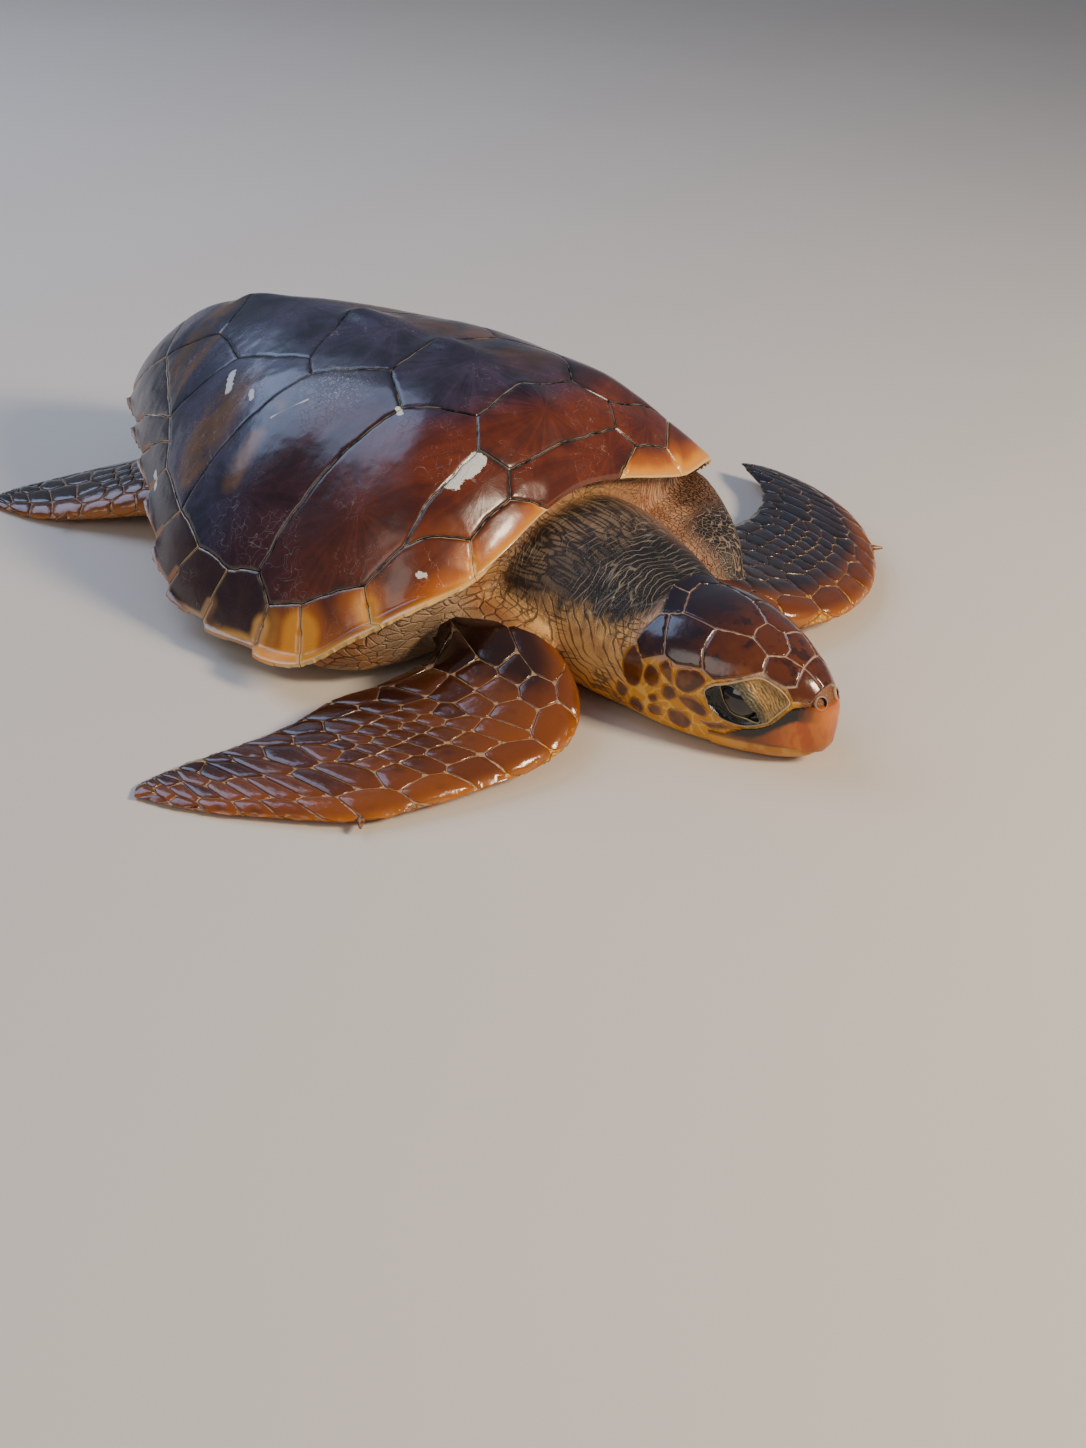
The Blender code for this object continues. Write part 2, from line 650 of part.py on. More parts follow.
def main():
    for old in list(bpy.data.objects):
        bpy.data.objects.remove(old, do_unlink=True)
    home = bpy.data.collections.new("loggerhead_turtle")
    cutters = bpy.data.collections.new("cutters")
    for collection in (home, cutters):
        bpy.context.scene.collection.children.link(collection)
    root = bpy.data.objects.new("turtle", None)
    home.objects.link(root)
    build_carapace(home, root)
    build_plastron(home, root)
    build_flesh(home, root, cutters)


main()
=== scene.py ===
# %% [markdown]
# # Young loggerhead turtle, a still life-size model
#
# The imported solids give every part its place and size: the plates of the shell, the flesh, the
# eyes, the beak and the claws. They are faceted, so most of what is seen is modelled again here
# with finer shapes on the same places, and the solids that a new piece stands for are hidden.

# %% Load the imported solids
import math
from contextlib import contextmanager

import bmesh
import bpy
import numpy as np
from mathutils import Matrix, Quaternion, Vector, noise
from mathutils.bvhtree import BVHTree
from mathutils.kdtree import KDTree


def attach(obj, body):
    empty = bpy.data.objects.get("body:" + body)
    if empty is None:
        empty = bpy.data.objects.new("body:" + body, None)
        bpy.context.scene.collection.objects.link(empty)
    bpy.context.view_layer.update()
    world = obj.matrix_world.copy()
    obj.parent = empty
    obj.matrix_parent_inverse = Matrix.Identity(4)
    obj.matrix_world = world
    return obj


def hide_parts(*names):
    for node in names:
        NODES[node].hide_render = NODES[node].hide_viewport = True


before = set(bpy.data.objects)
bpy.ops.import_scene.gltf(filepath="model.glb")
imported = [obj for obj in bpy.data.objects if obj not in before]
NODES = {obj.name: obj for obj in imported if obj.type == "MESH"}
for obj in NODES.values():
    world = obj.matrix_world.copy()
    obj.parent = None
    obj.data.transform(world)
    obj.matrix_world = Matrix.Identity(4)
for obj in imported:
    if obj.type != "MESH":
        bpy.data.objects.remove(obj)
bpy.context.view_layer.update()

# %% [markdown]
# ## Layout
#
# A turtle is easiest to lay out on its shell. All places are given in a layout unit close to the
# length of the carapace: x to the turtle's left, s backwards from the front of the shell, and z up
# from the floor. One function turns those into metres. It takes arrays, because most shapes here
# are worked out for thousands of points at once.

# %% Layout unit
UNIT = 0.315                   # metres
SHELL_MIDDLE = 0.5             # s of the world's origin


def at(x, s, z):
    """Places in metres from layout units; numbers or arrays."""
    x, s, z = np.broadcast_arrays(x, s, z)
    return np.stack([x, s - SHELL_MIDDLE, z], axis=-1) * UNIT


def laid(points):
    """Layout units from places in metres."""
    points = np.asarray(points, float) / UNIT
    return points[..., 0], points[..., 1] + SHELL_MIDDLE, points[..., 2]


def curve_through(values, t):
    """Catmull-Rom curve through rows of values, read at places t counted in rows."""
    values = np.asarray(values, float)
    t = np.clip(t, 0, len(values) - 1)
    i = np.minimum(t.astype(int), len(values) - 2)
    f = (t - i)[:, None]
    rows = [values[np.clip(i + k, 0, len(values) - 1)] for k in (-1, 0, 1, 2)]
    a, b, c, d = rows
    return 0.5 * (2 * b + (c - a) * f + (2 * a - 5 * b + 4 * c - d) * f ** 2
                  + (3 * b - a - 3 * c + d) * f ** 3)


def smoothstep(value, low, high):
    t = np.clip((value - low) / (high - low), 0, 1)
    return t * t * (3 - 2 * t)


def wobble(points, size, seed, octaves=2):
    """Smooth noise about 0 for points in metres; size is the width of one bump."""
    shift = Vector((seed * 17.3, seed * 5.1, seed * 9.7))
    return np.array([noise.fractal(Vector(p) / size + shift, 1.0, 2.0, octaves) for p in points])

# %% [markdown]
# ## Small tools for modelling
#
# Operators act on whatever is selected, and loading leaves every solid selected, so a new piece
# always starts by clearing the selection. Finished pieces keep their place in their mesh, with the
# object at the origin, because the shared library expects that.

# %% Selecting, applying and finishing
WELD = 0.00002                 # metres under which two points are one


def select_only(*pieces):
    bpy.ops.object.select_all(action="DESELECT")
    for made in pieces:
        made.select_set(True)
    bpy.context.view_layer.objects.active = pieces[0]


def apply_modifier(piece, kind, **settings):
    """Adds a modifier with its settings and applies it."""
    select_only(piece)
    step = piece.modifiers.new(kind.lower(), kind)
    for key, value in settings.items():
        setattr(step, key, value)
    bpy.ops.object.modifier_apply(modifier=step.name)


def vectors(collection, name):
    """One vector of each member of a collection, as rows."""
    rows = np.empty(len(collection) * 3)
    collection.foreach_get(name, rows)
    return rows.reshape(-1, 3)


def coordinates(piece):
    return vectors(piece.data.vertices, "co")


def set_coordinates(piece, co):
    piece.data.vertices.foreach_set("co", np.ascontiguousarray(co).ravel())
    piece.data.update()


def set_measures(piece, **measures):
    """Numbers for each point of the mesh, which a material can read by their names."""
    for name, values in measures.items():
        layer = piece.data.attributes.new(name, "FLOAT", "POINT")
        values = np.broadcast_to(values, len(piece.data.vertices))
        layer.data.foreach_set("value", np.ascontiguousarray(values, dtype=np.float32))


@contextmanager
def editing():
    """Edit mode on the active piece, with all of it selected, and object mode again after it."""
    bpy.ops.object.mode_set(mode="EDIT")
    bpy.ops.mesh.select_all(action="SELECT")
    yield
    bpy.ops.object.mode_set(mode="OBJECT")


def named(name):
    """The active object, given a name."""
    made = bpy.context.active_object
    made.name = name
    return made


def started(name, primitive, **settings):
    """A new primitive with a name, alone in the selection."""
    bpy.ops.object.select_all(action="DESELECT")
    primitive(**settings)
    return named(name)


def ngon(name, corners, radius=1):
    """A circle's flat face, to be given any outline."""
    return started(name, bpy.ops.mesh.primitive_circle_add, vertices=corners, radius=radius,
                   fill_type="NGON")


def welded_copy(node, name):
    """A copy of a solid, whose loose triangles are merged."""
    select_only(NODES[node])
    bpy.ops.object.duplicate()
    with editing():
        bpy.ops.mesh.remove_doubles(threshold=WELD)
    return named(name)


def join(pieces, name):
    select_only(*pieces)
    bpy.ops.object.join()
    return named(name)


def finish_piece(piece, material, slot, *replaced, angle=50):
    """Material, smooth shading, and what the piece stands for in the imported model."""
    select_only(piece)
    bpy.ops.object.shade_smooth_by_angle(angle=math.radians(angle))
    piece.data.materials.clear()
    piece.data.materials.append(material)
    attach(piece, "root")
    if replaced:
        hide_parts(*replaced)

# %% [markdown]
# ## Shader arithmetic
#
# Horn, skin and scales get their colours from masks: how far a point is from a seam, how high it
# lies, how noisy it is there. Written as node links such sums are hard to read, so a small class
# wraps a socket and turns Python's own operators into Math nodes.

# %% A socket that can be used in sums
class Wire:
    """A node's output socket. Sums with it add Math nodes to its tree."""

    def __init__(self, socket):
        self.socket = socket

    def make(self, kind, settings=None, inputs=None, output=0):
        """Any other node, in the same tree: its settings first, then values or links by input."""
        return make_node(self.socket.id_data, kind, settings, inputs, output)

    def math(self, operation, *values, clamp=False):
        settings = {"operation": operation, "use_clamp": clamp}
        return self.make("ShaderNodeMath", settings, dict(enumerate(values)))

    def __add__(self, other):
        return self.math("ADD", self, other)

    def __sub__(self, other):
        return self.math("SUBTRACT", self, other)

    def __rsub__(self, other):
        return self.math("SUBTRACT", other, self)

    def __mul__(self, other):
        return self.math("MULTIPLY", self, other)

    def __abs__(self):
        return self.math("ABSOLUTE", self)

    __radd__ = __add__
    __rmul__ = __mul__

    def rise(self, low, high):
        """Mask from 0 at low to 1 at high, eased at both ends; it falls if low is the larger."""
        settings = {"interpolation_type": "SMOOTHSTEP"}
        if low > high:
            return 1 - self.rise(high, low)
        return self.make("ShaderNodeMapRange", settings, {"Value": self, 1: low, 2: high})

    def clipped(self):
        return self.math("ADD", self, 0.0, clamp=True)

    def vector(self, operation, other=None, output=0):
        """This vector worked on with another one; output 1 is a length or a product."""
        inputs = {0: self} if other is None else {0: self, 1: other}
        return self.make("ShaderNodeVectorMath", {"operation": operation}, inputs, output)


def make_node(tree, kind, settings=None, inputs=None, output=0):
    node = tree.nodes.new(kind)
    for key, value in (settings or {}).items():
        setattr(node, key, value)
    for key, value in (inputs or {}).items():
        socket = node.inputs[key]
        if isinstance(value, Wire):
            tree.links.new(value.socket, socket)
        elif isinstance(value, tuple) and len(value) == 3 and socket.type == "RGBA":
            socket.default_value = (*value, 1)
        else:
            socket.default_value = value
    return Wire(node.outputs[output])


def tint(base, other, factor):
    """Mix of two colours; factor 0 gives the first."""
    source = next(w for w in (factor, base, other) if isinstance(w, Wire))
    settings = {"data_type": "RGBA", "clamp_factor": True}
    return source.make("ShaderNodeMix", settings, {0: factor, 6: base, 7: other}, output=2)


def coated(colour, *coats):
    """Colours laid over one another, each (colour, mask)."""
    for other, mask in coats:
        colour = tint(colour, other, mask)
    return colour


class Surface:
    """A material being made: its tree, object coordinates and the shader they end in."""

    def __init__(self, name):
        self.material = bpy.data.materials.new(name)
        self.material.use_nodes = True
        self.tree = self.material.node_tree
        self.shader = self.tree.nodes["Principled BSDF"]
        self.place = make_node(self.tree, "ShaderNodeTexCoord", output=3)
        split = {"Vector": self.place}
        self.x, self.y, self.z = (make_node(self.tree, "ShaderNodeSeparateXYZ", None, split, i)
                                  for i in range(3))

    @property
    def s(self):
        return self.y * (1 / UNIT) + SHELL_MIDDLE

    @property
    def height(self):
        """Layout units above the floor."""
        return self.z * (1 / UNIT)

    def measure(self, name):
        return make_node(self.tree, "ShaderNodeAttribute", {"attribute_name": name}, output=2)

    def stretched(self, x=1.0, y=1.0, z=1.0, warp=0.0, warp_scale=60.0):
        """Object coordinates scaled along each axis, wandering by warp metres first."""
        place = self.place
        if warp:
            drift = make_node(self.tree, "ShaderNodeTexNoise", None,
                              {"Vector": place, "Scale": warp_scale, "Detail": 1.0}, output=1)
            drift = drift.vector("SUBTRACT", (0.5, 0.5, 0.5))
            place = place.vector("ADD", drift.vector("MULTIPLY", (2 * warp,) * 3))
        return place.vector("MULTIPLY", (x, y, z))

    def clouds(self, scale, detail=3.0, vector=None, roughness=0.5):
        """Noise around 0.5; scale is in bumps a metre."""
        return make_node(self.tree, "ShaderNodeTexNoise", None,
                         {"Vector": vector or self.place, "Scale": scale, "Detail": detail,
                          "Roughness": roughness})

    def cells(self, scale, vector=None):
        """Distance to the nearest border in a pattern of cells."""
        return make_node(self.tree, "ShaderNodeTexVoronoi", {"feature": "DISTANCE_TO_EDGE"},
                         {"Vector": vector or self.place, "Scale": scale})

    def set(self, colour, bump=None, roughness=0.4, bump_depth=0.0005, **fixed):
        """Links what varies and sets the rest on the shader."""
        for name, value in {"Base Color": colour, "Roughness": roughness}.items():
            if isinstance(value, Wire):
                self.tree.links.new(value.socket, self.shader.inputs[name])
            else:
                self.shader.inputs[name].default_value = value
        if bump is not None:
            node = make_node(self.tree, "ShaderNodeBump", None,
                             {"Height": bump, "Distance": bump_depth, "Strength": 1.0})
            self.tree.links.new(node.socket, self.shader.inputs["Normal"])
        for name, value in fixed.items():
            self.shader.inputs[name.replace("_", " ")].default_value = value
        return self.material

# %% [markdown]
# ## The carapace as a surface
#
# The shell of a loggerhead is a low dome on a heart-shaped rim. In life it is bone covered with
# thin plates of horn, the scutes. The dome is the same formula as in the solids: the height falls
# from the crown to the rim as a power of the distance, and low knobs stand along the middle. The
# left shoulder is warped out a little. Having it as a formula lets any plate be as fine as it
# needs to be.

# %% Rim, crown and keel
# x, s and height of the rim, from the front round the left side to the rear
RIM = (
    (0.000, 0.046, 0.271), (0.094, 0.040, 0.258), (0.177, 0.034, 0.230), (0.257, 0.045, 0.196),
    (0.331, 0.082, 0.174), (0.379, 0.136, 0.126), (0.419, 0.206, 0.066), (0.435, 0.305, 0.050),
    (0.441, 0.411, 0.045), (0.424, 0.515, 0.060), (0.366, 0.618, 0.092), (0.300, 0.715, 0.120),
    (0.235, 0.816, 0.137), (0.165, 0.920, 0.149), (0.085, 1.020, 0.151), (0.000, 1.066, 0.148),
)
CROWN = 0.404
SHELL_CENTRE = 0.346
KEEL_HEIGHT = 0.013
KEEL_HALF_WIDTH = 0.034
KEEL_PEAKS = (0.175, 0.350, 0.535, 0.800, 0.960)
KEEL_LENGTHS = 0.075, 0.028    # of a knob, before and behind its peak
FLARE_OUT = 0.12               # share by which the left shoulder is warped out
FLARE_UP = 0.050
FLARE_ANGLE = 62               # degrees from the front
FLARE_WIDTH = 17
TURNS = (0, math.pi / 2, math.pi)      # front, side and rear, for the two rows below
POWERS = (2.67, 2.82, 3.05)
FULLNESS = (0.83, 0.94, 0.75)
RIM_STEPS = 12                 # points of the smooth rim between two of its places
POLAR_ROUNDS = 12              # rounds in which the share under the warped shoulder settles
SLOPE_STEP = 0.004
STEEP_SHARE = 0.975            # share to the rim beyond which the dome turns steep


def rim_tables():
    """Angle from the front, radius and height of a smooth curve through the rim's places."""
    mirrored = [(-RIM[1][0], *RIM[1][1:]), *RIM, (-RIM[-2][0], *RIM[-2][1:])]
    path = curve_through(mirrored, np.linspace(1, len(RIM), RIM_STEPS * (len(RIM) - 1) + 1))
    ahead = SHELL_CENTRE - path[:, 1]
    return np.arctan2(path[:, 0], ahead), np.hypot(path[:, 0], ahead), path[:, 2]


RIM_ANGLES, RIM_RADII, RIM_HEIGHTS = rim_tables()


def flare(angle, width):
    return np.exp(-((np.degrees(angle) - FLARE_ANGLE) / width) ** 2)


def polar(x, s):
    """Angle from the front, and share of the way from the shell's centre to its rim."""
    angle = np.arctan2(x, SHELL_CENTRE - s)
    whole = np.hypot(x, SHELL_CENTRE - s) / np.interp(np.abs(angle), RIM_ANGLES, RIM_RADII)
    rho = whole
    for _ in range(POLAR_ROUNDS):
        out = 1 + FLARE_OUT * flare(angle, FLARE_WIDTH) * np.minimum(rho, 1.05) ** 10
        rho = 0.5 * (rho + whole / out)
    return angle, rho


def rim_height(angle):
    return (np.interp(np.abs(angle), RIM_ANGLES, RIM_HEIGHTS)
            + FLARE_UP * flare(angle, 1.6 * FLARE_WIDTH))


def keel(x, s):
    height = 0.0
    for peak in KEEL_PEAKS:
        width = np.where(s < peak, *KEEL_LENGTHS)
        height = height + np.exp(-(x / KEEL_HALF_WIDTH) ** 2 - ((s - peak) / width) ** 2)
    return KEEL_HEIGHT * height


def dome(x, s):
    """Height of the carapace's outer face."""
    angle, rho = polar(x, s)
    rim = rim_height(angle)
    turn = np.abs(angle)
    inside = np.minimum(rho, 1.0)
    rise = (np.maximum(0.0, 1 - inside ** np.interp(turn, TURNS, POWERS))
            ** np.interp(turn, TURNS, FULLNESS))
    return rim + (CROWN - rim) * rise + keel(x, s) * (1 - inside ** 4)


def shell_normal(x, s):
    """Outward direction of the dome, read a little inside the rim where it turns steep."""
    step = SLOPE_STEP
    _, rho = polar(x, s)
    pull = np.minimum(1.0, STEEP_SHARE / np.maximum(rho, 1e-6))
    x = x * pull
    s = SHELL_CENTRE + (s - SHELL_CENTRE) * pull
    slope_x = (dome(x + step, s) - dome(x - step, s)) / (2 * step)
    slope_s = (dome(x, s + step) - dome(x, s - step)) / (2 * step)
    normal = np.stack([-slope_x, -slope_s, np.ones_like(x)], axis=-1)
    return normal / np.linalg.norm(normal, axis=-1, keepdims=True)


print("rim points:", len(RIM_ANGLES), "crown:", round(CROWN * UNIT, 4), "m")

# %% [markdown]
# The dome is steep at its rim, so a flat grid seen from above would stretch there. A cook peeling
# an orange has the same problem. The plates are therefore drawn on an unrolled shell, where the
# distance from the middle is measured along the surface. Two tables, worked out once, lead there
# and back.

# %% Unrolling the dome
TABLE_ANGLES = np.radians(np.linspace(-180, 180, 181))
TABLE_REACH = 1.08
TABLE_STEPS = 240


def plan(angle, rho):
    """Place (x, s) on the dome."""
    out = 1 + FLARE_OUT * flare(angle, FLARE_WIDTH) * rho ** 10
    radius = rho * out * np.interp(np.abs(angle), RIM_ANGLES, RIM_RADII)
    return radius * np.sin(angle), SHELL_CENTRE - radius * np.cos(angle)


def unroll_tables():
    """Length along the surface by angle and share to the rim, and the share by angle and length."""
    rho = np.linspace(0, TABLE_REACH, TABLE_STEPS)
    angle, share = np.meshgrid(TABLE_ANGLES, rho, indexing="ij")
    x, s = plan(angle, share)
    path = at(x, s, dome(x, s))
    steps = np.linalg.norm(np.diff(path, axis=1), axis=2)
    lengths = np.concatenate([np.zeros((len(TABLE_ANGLES), 1)), np.cumsum(steps, axis=1)], axis=1)
    even = np.linspace(0, 1, TABLE_STEPS)
    shares = np.array([np.interp(even * row[-1], row, rho) for row in lengths])
    return lengths, shares


LENGTHS, SHARES = unroll_tables()


def read_between(table, row, column):
    """Smooth reading of a table between its rows and columns."""
    i = np.clip(row.astype(int), 0, table.shape[0] - 2)
    j = np.clip(column.astype(int), 0, table.shape[1] - 2)
    f, g = row - i, column - j
    near = table[i, j] * (1 - g) + table[i, j + 1] * g
    far = table[i + 1, j] * (1 - g) + table[i + 1, j + 1] * g
    return near * (1 - f) + far * f


def look_up(table, angle, share):
    """Reading of a table by angle and a share from 0 to 1."""
    return read_between(table, (angle + math.pi) / (2 * math.pi) * (len(table) - 1),
                        np.clip(share, 0, 1) * (table.shape[1] - 1))


def unrolled(x, s):
    angle, rho = polar(x, s)
    length = look_up(LENGTHS, angle, rho / TABLE_REACH)
    return length * np.sin(angle), -length * np.cos(angle)


def rolled(p, q):
    angle = np.arctan2(p, -q)
    full = look_up(LENGTHS, angle, np.ones_like(angle))
    return plan(angle, look_up(SHARES, angle, np.hypot(p, q) / full))


ahead = LENGTHS[len(LENGTHS) // 2, -1]
print("from the middle to the rim, along the surface:", round(float(ahead), 3), "m in front,",
      round(float(LENGTHS[0, -1]), 3), "m behind")

# %% [markdown]
# ## Scutes
#
# Each scute of the real shell is a plate of horn that grows outwards from its middle, so its edges
# lie a little lower and meet the neighbours in a narrow groove. The outline is taken from the top
# face of the plate's solid. A circle's flat face is given that outline, cut by a grid and
# subdivided, and then lifted onto the dome. A solidify modifier turns the sheet into a plate.

# %% Outline of one plate
MERGE = 0.00001                # metres
FACE_TOLERANCE = 0.0007        # metres a vertex of the upper face may lie off the dome


def top_outline(node):
    """The border of a plate's upper face, in order, as (x, s)."""
    source = bmesh.new()
    source.from_mesh(node.data)
    bmesh.ops.remove_doubles(source, verts=source.verts, dist=MERGE)
    source.verts.index_update()
    x, s, z = laid([v.co for v in source.verts])
    upper = np.abs(dome(x, s) - z) * UNIT < FACE_TOLERANCE
    follow = {}
    for face in source.faces:
        if not all(upper[v.index] for v in face.verts):
            continue
        for loop in face.loops:
            others = [f for f in loop.edge.link_faces if f is not face]
            if any(not upper[v.index] for f in others for v in f.verts):
                follow[loop.vert.index] = loop.link_loop_next.vert.index
    order = [next(iter(follow))]
    while follow[order[-1]] != order[0]:
        order.append(follow[order[-1]])
    source.free()
    return x[order], s[order]


for name in ("nuchal", "costal_right_3", "marginal_left_9"):
    print(name, len(top_outline(NODES[name])[0]), "outline points")

# %% One plate as a fine sheet
GRID = 0.0048                  # metres between the first cuts
GRID_CUTS = 3
OUTLINE_STEP = 0.0045
BORDER_STEP = 0.0015           # finer, because distances are measured from it
GROOVE = 0.0008                # metres a seam lies deeper
GROOVE_REACH = 0.0019
LIP = 0.0011                   # metres the rim's edge is rounded down
LIP_REACH = 0.0032
CROWN_SWELL = 0.0008           # metres a plate is raised in its middle
FLAT_SWELL = 0.0004
PLATE_THICKNESS = 0.0020
SEAM_WANDER = 0.0011
RIM_EASE = (0.994, 0.998, 1.002, 1.006)   # shares over which the steep rim is averaged
NO_RIM = 0.2                   # metres, for plates that don't reach the rim
BATCH = 2000                   # points measured at a time


def flat_points(p, q):
    """Points in the flat plane of a drawing."""
    return np.stack([p, q, np.zeros_like(p)], axis=1)


def ring(loop):
    """Starts and ends of the segments of a closed border."""
    return loop, np.roll(loop, -1, axis=0)


def loop_distance(points, ends):
    """Least distance from points to the segments (start, end) of a border."""
    start, end = ends
    span = end - start
    size = np.maximum((span ** 2).sum(axis=1), 1e-14)
    out = np.full(len(points), 1.0)
    for i in range(0, len(points), BATCH):
        part = points[i:i + BATCH, None]
        t = np.clip(((part - start) * span).sum(axis=2) / size, 0, 1)
        gap = part - start - t[..., None] * span
        out[i:i + BATCH] = np.sqrt((gap ** 2).sum(axis=2).min(axis=1))
    return out


def flat_sheet(name, p, q, grid, cuts):
    """Flat face with a given outline, cut by a square grid and subdivided."""
    if (p * np.roll(q, -1) - q * np.roll(p, -1)).sum() < 0:
        p, q = p[::-1], q[::-1]
    sheet = ngon(name, len(p))
    set_coordinates(sheet, flat_points(p, q))
    with editing():
        for normal, values in (((1, 0, 0), p), ((0, 1, 0), q)):
            for cut in range(math.ceil(values.min() / grid), math.ceil(values.max() / grid)):
                centre = tuple(cut * grid * part for part in normal)
                bpy.ops.mesh.select_all(action="SELECT")
                bpy.ops.mesh.bisect(plane_co=centre, plane_no=normal, threshold=WELD)
        bpy.ops.mesh.select_all(action="DESELECT")
        bpy.ops.mesh.select_face_by_sides(number=4, type="GREATER", extend=False)
        bpy.ops.mesh.quads_convert_to_tris(quad_method="BEAUTY", ngon_method="BEAUTY")
        bpy.ops.mesh.select_all(action="SELECT")
        bpy.ops.mesh.subdivide(number_cuts=cuts)
    return sheet


def finer(p, q, step):
    """Closed outline with points at most a step apart."""
    out = []
    for a, b in zip(zip(p, q), zip(np.roll(p, -1), np.roll(q, -1))):
        pieces = max(1, round(math.dist(a, b) / step))
        out += [(a[0] + (b[0] - a[0]) * i / pieces, a[1] + (b[1] - a[1]) * i / pieces)
                for i in range(pieces)]
    return np.array(out).T


def wandering(p, q):
    """Shifts places a little, the same on both sides of a seam, and not at the rim."""
    flat = flat_points(p, q)
    _, rho = polar(*rolled(p, q))
    size = SEAM_WANDER * (1 - smoothstep(rho, 0.90, 0.97))
    return p + size * wobble(flat, 0.016, 1, 3), q + size * wobble(flat, 0.016, 2, 3)


def shell_places(p, q):
    """Places in metres on the dome for unrolled ones."""
    x, s = rolled(p, q)
    height = 0.0
    for pull in RIM_EASE:
        height = height + dome(x * pull, SHELL_CENTRE + (s - SHELL_CENTRE) * pull) / len(RIM_EASE)
    return at(x, s, height)


def build_plate(name, material, slot, swell):
    outline = finer(*unrolled(*top_outline(NODES[name])), OUTLINE_STEP)
    plate = flat_sheet(name.replace("_", "-") + "-horn", *outline, GRID, GRID_CUTS)
    p, q = wandering(*coordinates(plate)[:, :2].T)
    border = wandering(*finer(*outline, BORDER_STEP))
    outer = ring(polar(*rolled(*border))[1] > STEEP_SHARE)
    at_rim = outer[0] & outer[1]
    starts, ends = ring(shell_places(*border))
    places = shell_places(p, q)
    seam = loop_distance(places, (starts[~at_rim], ends[~at_rim]))
    rim = np.full(len(places), NO_RIM)
    if at_rim.any():
        rim = loop_distance(places, (starts[at_rim], ends[at_rim]))
    up = shell_normal(*rolled(p, q))
    worn = 1 - 0.5 * smoothstep(laid(places)[1], 0.35, 0.55)
    drop = GROOVE * worn * (1 - smoothstep(seam, -0.0006, GROOVE_REACH)) ** 1.5
    drop += LIP * (1 - smoothstep(rim, 0.0, LIP_REACH)) ** 2
    middle = np.minimum(seam, rim)
    raised = swell * smoothstep(middle, 0, middle.max()) + 0.00022 * wobble(places, 0.020, 3)
    raised += 0.00008 * wobble(places, 0.006, 4)
    set_coordinates(plate, places + up * (raised - drop)[:, None])
    core = places[np.argmax(middle)]
    ray = np.arctan2(*(places - core)[:, :2].T)
    set_measures(plate, seam=seam, rim=rim, ray_cos=np.cos(ray), ray_sin=np.sin(ray))
    apply_modifier(plate, "SOLIDIFY", thickness=PLATE_THICKNESS, offset=-1.0,
                   use_even_offset=False)
    finish_piece(plate, material, slot, name)
    return plate

# %% [markdown]
# ## Horn of the carapace
#
# Wet horn is smooth and half clear: deep red-brown over the shoulders, nearly black on the back
# and top, where a bluish sky reflection is painted into the colour, with amber clouds where the
# horn is thinner and a tan band of painted light along the far side of the crest. Seams are
# dark, and the front ones have a thin pale line in the middle. Streaks run outwards from the
# middle of each plate as it grew, and the surface has hair-fine scratches, a patch of dust and
# a few pale chips.

# %% Masks that repeat on several horns
def mirrored(surface):
    """Object coordinates with x folded to the right side, so marks fall on both sides."""
    folded = 0.0 - abs(surface.x)
    return surface.place.make("ShaderNodeCombineXYZ", None, {0: folded, 1: surface.y, 2: surface.z})


def spot(place, centre, radius, edge=0.9, flatten=(1.0, 1.0, 1.0)):
    """Mask that is 1 near a place (x, s, z) and fades over a share of its radius in metres."""
    away = place.vector("SUBTRACT", tuple(at(*centre))).vector("MULTIPLY", flatten)
    return away.vector("LENGTH", output=1).rise(radius, radius * (1 - edge))


def stroke(place, start, end, radius, edge=0.5):
    """Mask along a straight line between two places (x, s, z), with a radius in metres."""
    start, end = at(*start), at(*end)
    span = end - start
    from_start = place.vector("SUBTRACT", tuple(start))
    share = from_start.vector("DOT_PRODUCT", tuple(span / (span @ span)), 1).clipped()
    nearest = share.vector("MULTIPLY", tuple(span))
    return from_start.vector("DISTANCE", nearest, 1).rise(radius, radius * (1 - edge))


def with_strokes(mask, place, edge, *lines):
    """The mask with strokes added, each (start, end, radius)."""
    for line in lines:
        mask = (mask + stroke(place, *line, edge)).clipped()
    return mask


def chipped(horn, mask, scale, amount):
    """A soft mask turned into a hard one with a ragged edge, as broken horn has."""
    ragged = (horn.clouds(scale, 4, None, 0.7) - 0.5) * amount * mask.rise(0.0, 0.15)
    return (mask + ragged).rise(0.47, 0.53)


def growth_streaks(horn, density=9.0):
    """Mottling with faint streaks that run outwards from the middle of a plate."""
    ray = horn.place.make("ShaderNodeCombineXYZ", None,
                          {0: horn.measure("ray_cos") * density,
                           1: horn.measure("ray_sin") * density, 2: horn.measure("seam") * 30})
    return horn.clouds(1.0, 4, ray, 0.6) * 0.35 + horn.clouds(38, 5, None, 0.62) * 0.65


def scratches(horn, scale, amount):
    """Hair-fine curved lines, only where a second noise is high."""
    lines = horn.cells(scale, horn.stretched(warp=0.012, warp_scale=90))
    return lines.rise(0.018, 0.004) * horn.clouds(38, 2).rise(amount, amount + 0.08)

